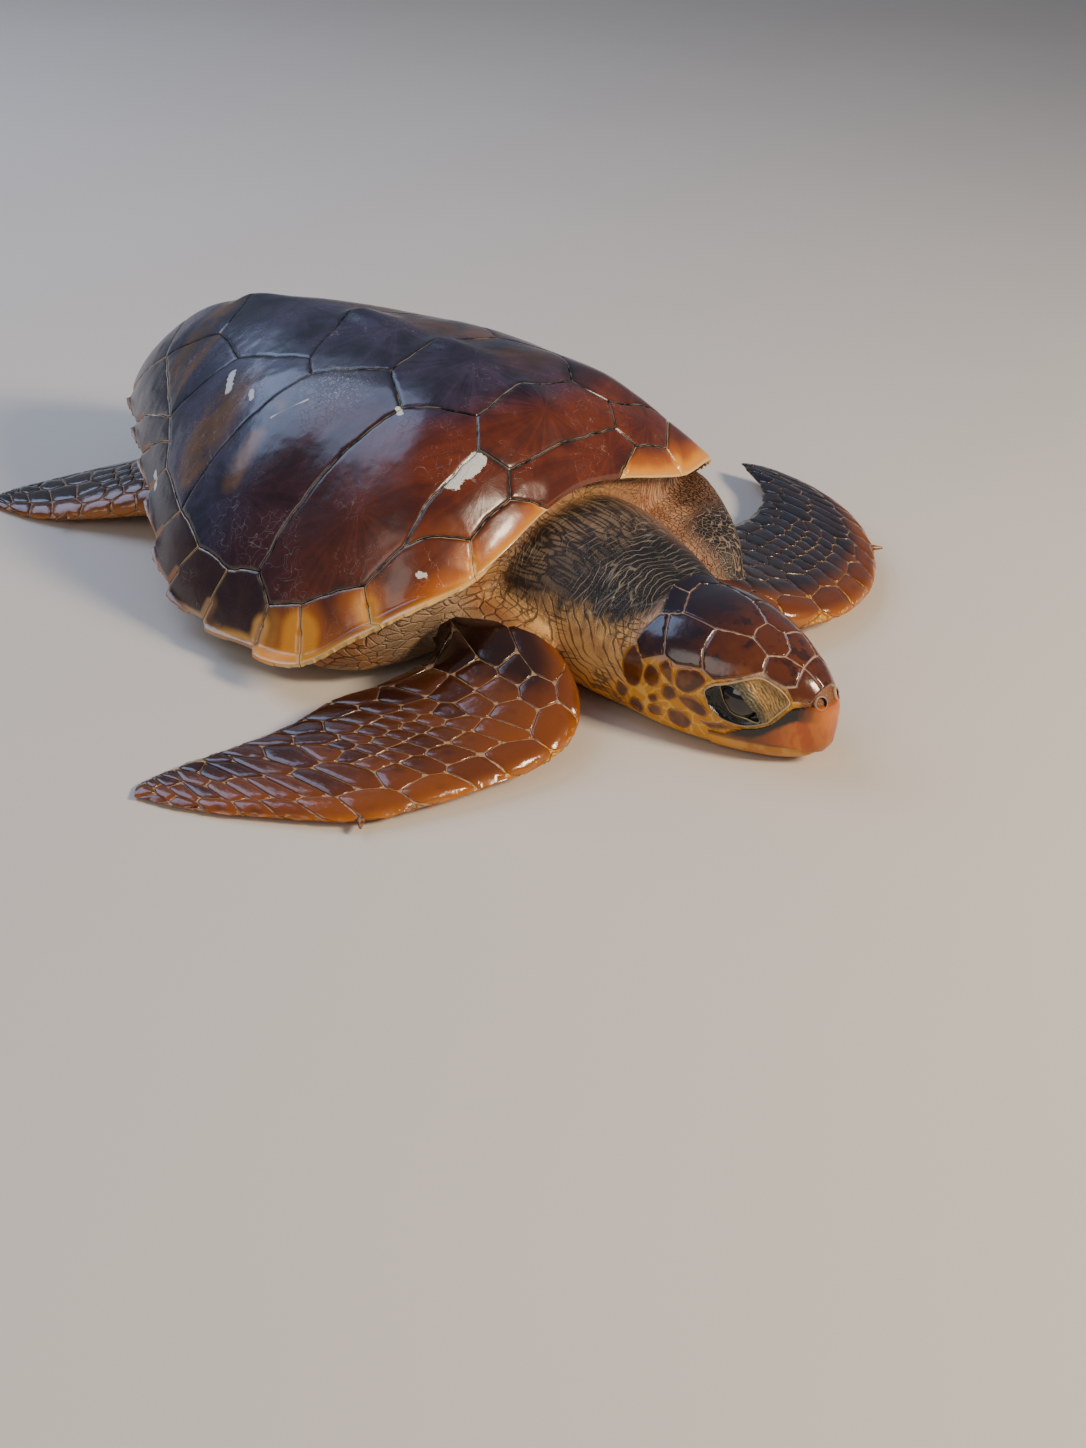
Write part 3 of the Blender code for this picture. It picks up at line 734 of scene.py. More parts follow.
# %% Carapace horn
def carapace_colour(horn, cloud, streak):
    """Red-brown in front, plum behind, with a painted bluish sky reflection on the back and top,
    amber where the horn is thin, and a painted lit band on the far side of the crest.
    """
    s, height = horn.s, horn.height
    drift = s + (cloud - 0.5) * 0.16
    grain = streak.rise(0.36, 0.64)
    # painted reflection: dark horn with a bluish sky reflection painted in, laid on the back and on
    # the top of the dome
    painted_sky_slate = tint((0.008, 0.008, 0.018), (0.040, 0.032, 0.068), grain)
    top = (height + (cloud - 0.5) * 0.05).rise(0.352, 0.388) * s.rise(0.10, 0.17)
    shoulder = (height + (cloud - 0.5) * 0.06).rise(0.285, 0.215) * s.rise(0.16, 0.08)
    colour = coated(tint((0.060, 0.011, 0.0045), (0.150, 0.026, 0.005), grain),
                    ((0.30, 0.070, 0.006), shoulder),
                    (tint((0.018, 0.005, 0.006), (0.060, 0.015, 0.018), grain),
                     drift.rise(0.18, 0.34)),
                    (painted_sky_slate, drift.rise(0.36, 0.50)), (painted_sky_slate, top * 0.9))
    fold = mirrored(horn)
    amber = with_strokes(
        spot(fold, (-0.272, 0.570, 0.265), 0.024, 0.7, (0.55, 1.0, 0.50)), fold, 0.8,
        ((-0.345, 0.452, 0.235), (-0.255, 0.452, 0.325), 0.009),
        ((-0.190, 0.800, 0.250), (-0.040, 0.815, 0.345), 0.015),
        ((-0.235, 0.750, 0.255), (-0.120, 0.745, 0.320), 0.009),
        ((-0.330, 0.560, 0.190), (-0.290, 0.500, 0.260), 0.008))
    amber = amber * horn.clouds(55, 4).rise(0.30, 0.50)
    # painted light: a tan band along the far side of the crest, where the light falls on it; from
    # here on the amber mask holds this painted band as well as the amber clouds
    far = horn.x.rise(0.002, 0.012) * horn.x.rise(0.075, 0.040) * s.rise(0.16, 0.30)
    amber = (amber * 0.9 + far * horn.clouds(30, 4).rise(0.36, 0.56) * 0.6).clipped()
    brown = tint((0.085, 0.038, 0.014), (0.21, 0.098, 0.038), cloud.rise(0.35, 0.65))
    return tint(colour, brown, amber)


def carapace_chips(horn):
    place = horn.place
    chips = (stroke(place, (-0.216, 0.121, 0.309), (-0.160, 0.122, 0.331), 0.0062, 1.0)
             + stroke(place, (-0.176, 0.118, 0.325), (-0.160, 0.124, 0.331), 0.0080, 1.0) * 0.6)
    chips = with_strokes(chips.clipped(), place, 1.0,
                         ((-0.199, 0.618, 0.321), (-0.229, 0.590, 0.308), 0.0046),
                         ((-0.235, 0.533, 0.327), (-0.244, 0.520, 0.321), 0.0032),
                         ((-0.184, 0.264, 0.372), (-0.190, 0.256, 0.369), 0.0032))
    return with_strokes(chipped(horn, chips, 230, 1.5), place, 0.5,
                        ((-0.270, 0.447, 0.319), (-0.232, 0.408, 0.351), 0.0010))


def carapace_material():
    horn = Surface("carapace-horn-worn")
    seam = horn.measure("seam")
    cloud, streak = horn.clouds(20, 3), growth_streaks(horn)
    front = horn.s.rise(0.50, 0.30)
    band = seam.rise(0.0010, 0.0002) * (0.45 + front * 0.5)
    band = (band + seam.rise(0.0060, 0.0002) * horn.clouds(45, 3).rise(0.48, 0.68) * 0.6).clipped()
    # a thin pale line in the middle of each seam, stronger in front
    pale_seam_line = seam.rise(0.00042, 0.00018) * horn.clouds(120, 3).rise(0.40, 0.58)
    hair, chips = scratches(horn, 170, 0.52), carapace_chips(horn)
    dusty = spot(mirrored(horn), (-0.190, 0.395, 0.366), 0.026, 0.9, (1.0, 0.8, 0.8))
    colour = coated(carapace_colour(horn, cloud, streak), ((0.005, 0.004, 0.004), band),
                    ((0.27, 0.25, 0.21), pale_seam_line * (0.12 + front * 0.68)),
                    ((0.30, 0.25, 0.24), hair * 0.32),
                    ((0.52, 0.50, 0.52), horn.clouds(1700, 2).rise(0.60, 0.68) * dusty * 0.8),
                    ((0.30, 0.29, 0.31), horn.clouds(420, 4).rise(0.54, 0.66) * dusty * 0.35),
                    ((0.66, 0.64, 0.60), chips))
    relief = (horn.clouds(260, 3) * 0.4 + streak * 0.8 - hair * 0.5
              - seam.rise(0.0008, 0.0) * 0.8 + chips)
    roughness = (horn.clouds(30, 4).rise(0.2, 0.8) * 0.14 + 0.20 + chips * 0.35 + dusty * 0.14
                 + hair * 0.2)
    return horn.set(colour, relief, roughness, 0.00022, Coat_Weight=0.25, Coat_Roughness=0.12)


CARAPACE_HORN = carapace_material()

# %% [markdown]
# ## Horn of the rim
#
# The marginals are the same horn, but thin at their edge: red-brown near the costals, orange and
# at last yellow at the rim of the shoulders, where a glow of light passing through the thin horn
# is painted into the colour, with a painted highlight along the very edge in front. Towards the
# tail they turn dark and bluish with a painted sky reflection, with only a thin pinkish lip. The
# seams of the front ones have a thin pale line.

# %% Marginal horn
def marginal_colour(horn, rim, streak):
    """Painted glow of light passing through the thin rim: orange to yellow at its edge in front and
    orange at the sides; behind, a pink lip on dark horn that carries a painted bluish sky
    reflection.
    """
    s, cloud = horn.s, horn.clouds(34, 3)
    edge = rim + (cloud - 0.5) * 0.008 + (streak - 0.5) * 0.003
    grain = streak.rise(0.32, 0.76)
    # painted glow: light passing through the thin rim, strongest at the front of the shoulders
    painted_glow = edge - (s.rise(0.115, 0.215) + horn.x.rise(0.055, 0.085) * 0.35).clipped() * 0.007
    front = coated(tint((0.085, 0.015, 0.005), (0.17, 0.036, 0.006), grain),
                   ((0.42, 0.105, 0.006), painted_glow.rise(0.0150, 0.0040)),
                   ((0.78, 0.30, 0.018), painted_glow.rise(0.0070, 0.0008)))
    lip = tint((0.34, 0.165, 0.090), (0.50, 0.30, 0.15), cloud.rise(0.4, 0.7))
    behind = coated(tint((0.018, 0.007, 0.008), (0.060, 0.018, 0.015), streak.rise(0.30, 0.76)),
                    # painted reflection: dark horn towards the tail, made bluish by a painted sky
                    # reflection
                    ((0.016, 0.016, 0.028), s.rise(0.50, 0.66) * 0.75),
                    # painted glow at the rim's edge along the sides
                    ((0.62, 0.30, 0.060), edge.rise(0.0075, 0.0030) * s.rise(0.42, 0.34)),
                    (lip, rim.rise(0.0034, 0.0012) * 0.85))
    colour = tint(front, behind, (s + (cloud - 0.5) * 0.06).rise(0.235, 0.315))
    amber = spot(mirrored(horn), (-0.250, 0.830, 0.150), 0.020)
    return tint(colour, (0.13, 0.055, 0.022), amber * streak.rise(0.35, 0.6) * 0.7)


def marginal_material():
    horn = Surface("marginal-horn-worn")
    seam, rim, s = horn.measure("seam"), horn.measure("rim"), horn.s
    streak = growth_streaks(horn, 5.0)
    # seams are dark where they meet the costals and have a thin pale line at the front rim
    deep = seam.rise(0.0017, 0.0002)
    pale_front_seam_line = seam.rise(0.00048, 0.00020) * horn.clouds(150, 3).rise(0.32, 0.52)
    hair = scratches(horn, 150, 0.56)
    chip = with_strokes(spot(horn.place, (-0.308, 0.087, 0.206), 0.0052, 1.0, (1.0, 0.7, 1.5)),
                        horn.place, 1.0, ((-0.300, 0.692, 0.152), (-0.319, 0.668, 0.142), 0.0034))
    chip = chipped(horn, chip, 260, 1.4)
    colour = coated(marginal_colour(horn, rim, streak),
                    ((0.010, 0.005, 0.004), deep * rim.rise(0.006, 0.016) * 0.85),
                    ((0.020, 0.007, 0.005),
                     deep * s.rise(0.20, 0.34) * rim.rise(0.001, 0.004) * 0.8),
                    ((0.62, 0.42, 0.22), pale_front_seam_line * 0.85),
                    # painted highlight: a pale yellow line along the very edge of the rim in front
                    ((0.78, 0.52, 0.20), rim.rise(0.0016, 0.0006) * s.rise(0.26, 0.20) * 0.8),
                    ((0.55, 0.40, 0.26), hair * 0.30), ((0.68, 0.66, 0.62), chip))
    relief = (horn.clouds(260, 3) * 0.4 + streak * 0.6 - hair * 0.4
              - seam.rise(0.0007, 0.0) * 0.7 + chip)
    roughness = horn.clouds(40, 4).rise(0.2, 0.8) * 0.14 + 0.21 + chip * 0.35
    return horn.set(colour, relief, roughness, 0.00020, Coat_Weight=0.25, Coat_Roughness=0.12)


MARGINAL_HORN = marginal_material()

# %% All forty plates
HORN_KINDS = {("nuchal", "vertebral", "costal"): (CARAPACE_HORN, "carapace_horn", CROWN_SWELL),
              ("marginal", "supracaudal"): (MARGINAL_HORN, "marginal_horn", FLAT_SWELL)}
plates = [build_plate(name, *horn) for name in NODES for kinds, horn in HORN_KINDS.items()
          if name.split("_")[0] in kinds]
print("plates:", len(plates), "faces:", sum(len(plate.data.polygons) for plate in plates))

# %% [markdown]
# ## Skin
#
# Neck, head, limbs and the soft trunk under the shell are one continuous skin in life. Each of
# them starts here as a smooth tube through the same stations as its solid. The tubes are joined
# and voxel-remeshed into one surface, which also rounds the places where they meet, and it is then
# drawn in by the thickness of the scales that will lie on it.

# %% Stations of the limbs
# Leading edge (x, s), trailing edge (x, s), height of the middle, half thickness.
FRONT_RIGHT = (
    ((0.120, 0.020), (0.190, 0.180), 0.105, 0.050),
    ((0.165, -0.055), (0.235, 0.130), 0.088, 0.050),
    ((0.190, -0.125), (0.285, 0.072), 0.066, 0.045),
    ((0.235, -0.170), (0.340, 0.085), 0.048, 0.038),
    ((0.300, -0.192), (0.395, 0.110), 0.035, 0.030),
    ((0.380, -0.185), (0.445, 0.130), 0.027, 0.025),
    ((0.480, -0.158), (0.525, 0.128), 0.021, 0.021),
    ((0.600, -0.113), (0.605, 0.143), 0.015, 0.016),
    ((0.690, -0.015), (0.665, 0.160), 0.011, 0.0115),
    ((0.748, 0.066), (0.715, 0.168), 0.0075, 0.008),
    ((0.784, 0.145), (0.755, 0.172), 0.005, 0.006),
)
FRONT_LEFT = (
    ((0.120, 0.020), (0.190, 0.180), 0.105, 0.050),
    ((0.165, -0.065), (0.240, 0.130), 0.088, 0.050),
    ((0.195, -0.145), (0.300, 0.062), 0.066, 0.045),
    ((0.250, -0.195), (0.360, 0.060), 0.050, 0.038),
    ((0.325, -0.222), (0.425, 0.080), 0.040, 0.031),
    ((0.420, -0.226), (0.485, 0.095), 0.036, 0.027),
    ((0.525, -0.197), (0.570, 0.100), 0.035, 0.023),
    ((0.635, -0.128), (0.640, 0.125), 0.036, 0.020),
    ((0.722, -0.030), (0.700, 0.170), 0.037, 0.017),
    ((0.773, 0.080), (0.745, 0.235), 0.036, 0.013),
    ((0.795, 0.190), (0.775, 0.270), 0.032, 0.008),
)
HIND_FLIPPER = (
    ((0.200, 0.660), (0.070, 0.800), 0.078, 0.042),
    ((0.262, 0.745), (0.110, 0.890), 0.060, 0.034),
    ((0.312, 0.820), (0.155, 0.955), 0.036, 0.027),
    ((0.348, 0.872), (0.215, 1.005), 0.020, 0.019),
    ((0.377, 0.925), (0.275, 1.035), 0.011, 0.013),
    ((0.395, 0.985), (0.330, 1.050), 0.007, 0.009),
    ((0.400, 1.030), (0.372, 1.050), 0.005, 0.006),
)
LIMBS = {
    "front_left": (FRONT_LEFT, 1), "front_right": (FRONT_RIGHT, -1),
    "hind_left": (HIND_FLIPPER, 1), "hind_right": (HIND_FLIPPER, -1),
}
LIMB_SQUARENESS = 0.85
# loose skin that fills the hollow between the neck, the raised shell corner and the left flipper
SHOULDER_FOLD = (
    ((0.100, 0.010), (0.190, 0.210), 0.100, 0.070),
    ((0.175, -0.070), (0.280, 0.200), 0.098, 0.076),
    ((0.222, -0.103), (0.350, 0.190), 0.097, 0.077),
    ((0.258, -0.098), (0.398, 0.185), 0.097, 0.077),
    ((0.288, -0.070), (0.430, 0.180), 0.098, 0.075),
    ((0.315, -0.032), (0.446, 0.170), 0.101, 0.069),
    ((0.345, 0.008), (0.452, 0.160), 0.105, 0.054),
    ((0.378, 0.050), (0.446, 0.145), 0.110, 0.024),
)

# %% Stations of the neck, head and tail
# s, half width, lowest z, highest z
NECK = (
    (0.150, 0.145, 0.045, 0.215), (0.070, 0.158, 0.026, 0.243), (0.000, 0.160, 0.012, 0.243),
    (-0.080, 0.150, 0.002, 0.218), (-0.163, 0.133, -0.004, 0.186), (-0.215, 0.130, -0.006, 0.188),
)
HEAD = (
    (-0.110, 0.141, -0.002, 0.200), (-0.164, 0.132, -0.004, 0.185), (-0.215, 0.130, -0.006, 0.188),
    (-0.270, 0.117, -0.006, 0.187), (-0.325, 0.097, -0.003, 0.176), (-0.372, 0.073, 0.002, 0.160),
    (-0.407, 0.051, 0.009, 0.142), (-0.432, 0.030, 0.021, 0.115), (-0.4415, 0.015, 0.034, 0.087),
    (-0.4440, 0.004, 0.050, 0.068),
)
TAIL = (
    (0.800, 0.050, 0.050, 0.130), (0.900, 0.040, 0.045, 0.110), (0.970, 0.026, 0.048, 0.092),
    (1.010, 0.016, 0.053, 0.080), (1.019, 0.008, 0.058, 0.073), (1.022, 0.002, 0.063, 0.067),
)
THROAT_SQUARENESS = 0.6
HEAD_SQUARENESS = 0.85


def power(value, exponent):
    return np.sign(value) * np.abs(value) ** exponent


def limb_place(stations, side, t, turn):
    """Place on a limb: t counts stations, turn goes round from the leading edge over the top."""
    rows = [(*lead, *trail, height, half) for lead, trail, height, half in stations]
    lead_x, lead_s, trail_x, trail_s, height, half = curve_through(rows, t).T
    across = power(np.cos(turn), LIMB_SQUARENESS)
    x = (lead_x + trail_x) / 2 + (lead_x - trail_x) / 2 * across
    s = (lead_s + trail_s) / 2 + (lead_s - trail_s) / 2 * across
    z = height + half * power(np.sin(turn), LIMB_SQUARENESS)
    return at(side * x, s, np.maximum(z, 0.0))


def body_place(stations, squareness, t, turn):
    """Place on the neck, head or tail: turn goes round from the left side over the top."""
    s, half, low, high = curve_through(stations, t).T
    lower = np.where(np.sin(turn) < 0, THROAT_SQUARENESS, squareness)
    x = half * power(np.cos(turn), lower)
    z = (low + high) / 2 + (high - low) / 2 * power(np.sin(turn), lower)
    return at(x, s, np.maximum(z, 0.0))

# %% Tubes
def tube(name, place, last, along=48, around=56):
    """Closed tube: a grid bent so that place(t, turn) gives each of its points."""
    made = started(name, bpy.ops.mesh.primitive_grid_add, x_subdivisions=along,
                   y_subdivisions=around, size=1)
    u, v = (coordinates(made)[:, :2] + 0.5).T
    set_coordinates(made, place(u * last, 2 * math.pi * v))
    with editing():
        bpy.ops.mesh.remove_doubles(threshold=WELD)
        bpy.ops.mesh.fill_holes(sides=0)
        bpy.ops.mesh.select_all(action="SELECT")
        bpy.ops.mesh.normals_make_consistent(inside=False)
    return made


def limb_form(stations, side):
    """The places of a limb and the number of its last station."""
    return lambda t, turn: limb_place(stations, side, t, turn), len(stations) - 1


def body_form(stations, squareness):
    return lambda t, turn: body_place(stations, squareness, t, turn), len(stations) - 1


HEAD_FORM = body_form(HEAD, HEAD_SQUARENESS)


def flesh_tubes():
    """The trunk's solid, which lies hidden under the shell, and a tube for every other part."""
    trunk = welded_copy("trunk", "trunk-copy")
    with editing():
        bpy.ops.mesh.tris_convert_to_quads()
    limbs = [tube(title, *limb_form(*limb), 90) for title, limb in LIMBS.items()]
    return [trunk, *limbs, tube("neck", *body_form(NECK, 0.9)), tube("head", *HEAD_FORM),
            tube("tail", *body_form(TAIL, 1))]

# %% One skin
SKIN_VOXEL = 0.0022            # metres
SCALE_DEPTH = 0.0009           # metres the skin lies inside the solids


def build_skin_form(name, more=()):
    """The flesh, and any more pieces, as one surface."""
    skin = join([*flesh_tubes(), *more], name)
    apply_modifier(skin, "REMESH", mode="VOXEL", voxel_size=SKIN_VOXEL, use_smooth_shade=True)
    apply_modifier(skin, "SMOOTH", factor=0.5, iterations=6)
    apply_modifier(skin, "DISPLACE", strength=-SCALE_DEPTH, mid_level=0.0)
    return skin


# the scales are laid on the form without the loose skin
bare_skin = build_skin_form("bare-skin")
skin = build_skin_form("turtle-skin", [tube("shoulder-fold", *limb_form(SHOULDER_FOLD, 1))])
print("skin faces:", len(skin.data.polygons))

# %% [markdown]
# ## Scales
#
# The limbs are covered with flat horny scales: a row of large ones on the leading edge, a second
# row behind it, small many-sided ones over the elbow, and long ones on the trailing edge. Between
# them the skin shows as pale lines. They are drawn flat first, as a tailor cuts a sleeve before
# sewing it, with the height of each point above the skin as its z, and then wrapped round the
# limb.

# %% Wrapping a flat drawing round a tube
class Wrap:
    """Leads from lengths along and around a tube to places on it."""

    ROWS = 120
    STEPS = 90

    def __init__(self, place, last, zero, straight=None):
        self.place, self.zero = place, zero
        self.t = np.linspace(0, last, self.ROWS)
        share = np.linspace(-1, 1, 2 * self.STEPS + 1)
        rows, shares = np.meshgrid(self.t, share, indexing="ij")
        grid = place(rows.ravel(), (zero + math.pi * shares).ravel()).reshape(*rows.shape, 3)
        step = np.linalg.norm(np.diff(grid, axis=1), axis=2)
        around = np.concatenate([np.zeros((self.ROWS, 1)), np.cumsum(step, axis=1)], axis=1)
        around -= around[:, self.STEPS:self.STEPS + 1]
        gaps = np.linalg.norm(np.diff(grid[:, self.STEPS], axis=0), axis=1)
        self.along = np.concatenate([[0], np.cumsum(gaps)]) if straight is None else straight(grid)
        self.low, self.half = -around[:, 0], around[:, -1]
        reach = np.where(share < 0, self.low[:, None], self.half[:, None]) * share
        self.shares = np.array([np.interp(r, a, share) for r, a in zip(reach, around)])

    def half_round(self, along):
        """Length round from the zero line to the far side."""
        return np.interp(along, self.along, self.half)

    def at(self, along, across):
        t = np.interp(along, self.along, self.t)
        full = np.where(across < 0, np.interp(along, self.along, self.low), self.half_round(along))
        share = read_between(self.shares, t / self.t[-1] * (self.ROWS - 1),
                             (np.clip(across / full, -1, 1) + 1) * self.STEPS)
        return self.place(t, self.zero + math.pi * share)


HEAD_WRAP = Wrap(*HEAD_FORM, math.pi / 2, lambda grid: -grid[:, 0, 1] - SHELL_MIDDLE * UNIT)
print("head, half way round at the eyes:", round(float(HEAD_WRAP.half_round(0.34 * UNIT)), 3), "m")

# %% The skin as something to lie on
def kd_tree(points):
    tree = KDTree(len(points))
    for i, point in enumerate(points):
        tree.insert(point, i)
    tree.balance()
    return tree


class Ground:
    """The skin without its loose fold: nearest place and a smooth outward direction."""

    NEAREST = 6
    SOFTNESS = 0.0004          # metres that keep the nearest normal from ruling alone

    def __init__(self, piece):
        self.tree = BVHTree.FromObject(piece, bpy.context.evaluated_depsgraph_get())
        self.points = kd_tree(coordinates(piece))
        self.normals = vectors(piece.data.vertex_normals, "vector")

    def lay(self, places, height):
        """The places brought to the skin and raised by a height each."""
        out = np.empty_like(places)
        for i, place in enumerate(places):
            foot = self.tree.find_nearest(place)[0]
            near = self.points.find_n(foot, self.NEAREST)
            weight = np.array([1 / (self.SOFTNESS + n[2]) for n in near])
            normal = weight @ self.normals[[n[1] for n in near]]
            out[i] = np.array(foot) + normal / np.linalg.norm(normal) * height[i]
        return out


GROUND = Ground(bare_skin)
bpy.data.objects.remove(bare_skin)
print("the skin to lie on has", len(GROUND.normals), "points")

# %% Cells around seeds
SCALE_GAP = 0.00040            # metres of pale skin between two scales
NEIGHBOURS = 22
CELL_REACH = 0.02              # metres from a seed to the sides of the square it starts as
CORNER_CUT = 0.13              # share of a side cut off at each corner
SHORTEST_SIDE = 0.0004


def cells_around(seeds):
    """Flat cell of each seed: the square around it, cut half way to each neighbour."""
    seeds = np.asarray(seeds)
    cells = []
    for i, (a, b) in enumerate(seeds):
        gaps = np.hypot(*(seeds - seeds[i]).T)
        cell = [(a + u * CELL_REACH, b + v * CELL_REACH)
                for u, v in ((-1, -1), (1, -1), (1, 1), (-1, 1))]
        for j in np.argsort(gaps)[1:NEIGHBOURS]:
            cell = clipped(cell, (seeds[i] + seeds[j]) / 2, seeds[j] - seeds[i])
        cells.append(cell)
    return cells


def clipped(cell, point, outward):
    """The part of a flat cell behind a line through a point."""
    depth = [(p[0] - point[0]) * outward[0] + (p[1] - point[1]) * outward[1] for p in cell]
    out = []
    for k, here in enumerate(cell):
        after, d, e = cell[(k + 1) % len(cell)], depth[k], depth[(k + 1) % len(cell)]
        if d <= 0:
            out.append(here)
        if (d < 0 < e) or (e < 0 < d):
            f = d / (d - e)
            out.append((here[0] + (after[0] - here[0]) * f, here[1] + (after[1] - here[1]) * f))
    return out


def corners_cut(points, share):
    """Closed outline with two points in the place of every corner."""
    after, rest = np.roll(points, -1, axis=0), 1 - share
    pairs = np.stack([points * rest + after * share, points * share + after * rest], axis=1)
    return pairs.reshape(-1, 2)


def rounded(cell, gap):
    """A cell with its corners cut and drawn in by half a gap."""
    points = np.array(cell)
    size = np.hypot(*(np.roll(points, -1, axis=0) - points).T)
    points = corners_cut(points[size > SHORTEST_SIDE], CORNER_CUT)
    middle = points.mean(axis=0)
    reach = np.hypot(*(points - middle).T)
    return middle + (points - middle) * (1 - 0.5 * gap / max(reach.min(), gap))[None]

# %% Relief of many small scales
RISE = 0.00075                 # metres a scale stands above the skin
SHOULDER = ((0.00016, 0.00040), (0.00050, 0.00022))   # inset, further rise
SKIRT = 0.0005                 # metres its edge reaches down into the skin


def flat_relief(name, cells):
    """Joined mesh of flat cells with stepped, rounded edges; z is the height above the skin."""
    corners = np.concatenate(cells)
    counts = np.cumsum([0] + [len(cell) for cell in cells])
    mesh = bpy.data.meshes.new(name)
    mesh.from_pydata([(a, b, 0.0) for a, b in corners], [],
                     [range(i, j) for i, j in zip(counts, counts[1:])])
    relief = bpy.data.objects.new(name, mesh)
    bpy.context.scene.collection.objects.link(relief)
    select_only(relief)
    with editing():
        for inset, rise in SHOULDER:
            bpy.ops.mesh.inset(thickness=inset, depth=rise, use_individual=True)
        bpy.ops.mesh.poke(offset=RISE - SHOULDER[0][1] - SHOULDER[1][1])
        bpy.ops.mesh.subdivide(number_cuts=1)
        bpy.ops.mesh.select_all(action="DESELECT")
        bpy.ops.mesh.select_non_manifold()
        bpy.ops.mesh.extrude_edges_move(TRANSFORM_OT_translate={"value": (0, 0, -SKIRT)})
    return relief


def lay_out(piece, u, v):
    """UV map in which every scale keeps its own place on the unrolled skin."""
    uv = piece.data.uv_layers.new(name="OFBake")
    corners = np.empty(len(piece.data.loops), int)
    piece.data.loops.foreach_get("vertex_index", corners)
    uv.data.foreach_set("uv", np.stack([u, v], axis=1)[corners].ravel())

# %% Rows of scales on the limbs
JITTER = 0.13                  # share of a step
WIDE = 0.085                   # metres half round a limb where the rows keep their full spacing
LEAD_LIMIT = (-0.10, -0.004)   # cells end at this share of the way across, and metres beyond
TRAIL_LIMIT = (1.04, 0.002)
SUNK = 0.00005                 # metres a coat is let into the skin


def limb_seeds(wrap, zones, rng):
    """Seeds in rows: zones are (from, to, [(share across, spacing), ...]) in shares and metres."""
    seeds = []
    length = wrap.along[-1]
    for start, end, rows in zones:
        for k, (share, spacing) in enumerate(rows):
            a = (start + 0.5 * spacing / length * (k % 2)) * length
            while a < end * length:
                wide = wrap.half_round(a)
                step = spacing * (0.55 + 0.45 * wide / WIDE)
                jitter = rng.uniform(-JITTER, JITTER, 2) * step
                seeds.append((a + jitter[0], share * wide + jitter[1]))
                a += step
    return seeds


SHOULDER_BEND = [(-0.12, 0.0200), (0.09, 0.0190), (0.28, 0.0170), (0.44, 0.0150), (0.59, 0.0150),
                 (0.75, 0.0190), (0.93, 0.0240), (1.10, 0.0240)]
MOSAIC = [(-0.12, 0.0190), (0.10, 0.0175), (0.27, 0.0125), (0.40, 0.0092), (0.50, 0.0085),
          (0.60, 0.0088), (0.72, 0.0120), (0.87, 0.0180), (1.04, 0.0220)]
BLADE = [(-0.12, 0.0190), (0.10, 0.0185), (0.40, 0.0140), (0.67, 0.0185), (0.92, 0.0250),
         (1.14, 0.0250)]
HIND_ROWS = [(-0.12, 0.0160), (0.08, 0.0160), (0.25, 0.0120), (0.38, 0.0095), (0.51, 0.0095),
             (0.65, 0.0110), (0.81, 0.0140), (0.98, 0.0160), (1.14, 0.0160)]
HIND_BLADE = [(-0.12, 0.0170), (0.11, 0.0170), (0.42, 0.0150), (0.70, 0.0160), (0.94, 0.0190),
              (1.14, 0.0190)]
ZONES = {"front": [(0.19, 0.34, SHOULDER_BEND), (0.36, 0.575, MOSAIC), (0.60, 0.985, BLADE)],
         "hind": [(0.10, 0.52, HIND_ROWS), (0.55, 0.97, HIND_BLADE)]}


def on_limb(wrap, a, b):
    """Whether a seed lies between the limits of the coat."""
    wide = wrap.half_round(a)
    return LEAD_LIMIT[0] * wide + LEAD_LIMIT[1] < b < TRAIL_LIMIT[0] * wide + TRAIL_LIMIT[1]


def limb_scales(title, seed):
    """The coat of one limb: every scale has its own tone and knows its place on the limb."""
    rng = np.random.default_rng(seed)
    wrap = Wrap(*limb_form(*LIMBS[title]), 0.0)
    length = wrap.along[-1]
    seeds = limb_seeds(wrap, ZONES[title.split("_")[0]], rng)
    cells = [rounded(cell, SCALE_GAP) for cell, seed_place in zip(cells_around(seeds), seeds)
             if on_limb(wrap, *seed_place)]
    relief = flat_relief(f"scales-{title.replace('_', '-')}", cells)
    along, across, height = coordinates(relief).T
    roots = kd_tree([(a, b, 0) for a, b in seeds])
    nearest = [roots.find((a, b, 0))[1:] for a, b in zip(along, across)]
    tones = rng.uniform(0, 1, len(seeds))
    # the measure named dusk is 1 on the limbs that get painted shade, all but the near front one
    set_measures(relief, tone=[tones[i] for i, _ in nearest], core=[far for _, far in nearest],
                 lead=across / wrap.half_round(along), along=along / length, height=height,
                 dusk=0.0 if title == "front_right" else 1.0)
    lay_out(relief, along / length, 0.5 + across / length)
    set_coordinates(relief, GROUND.lay(wrap.at(along, across), height - SUNK))
    return relief


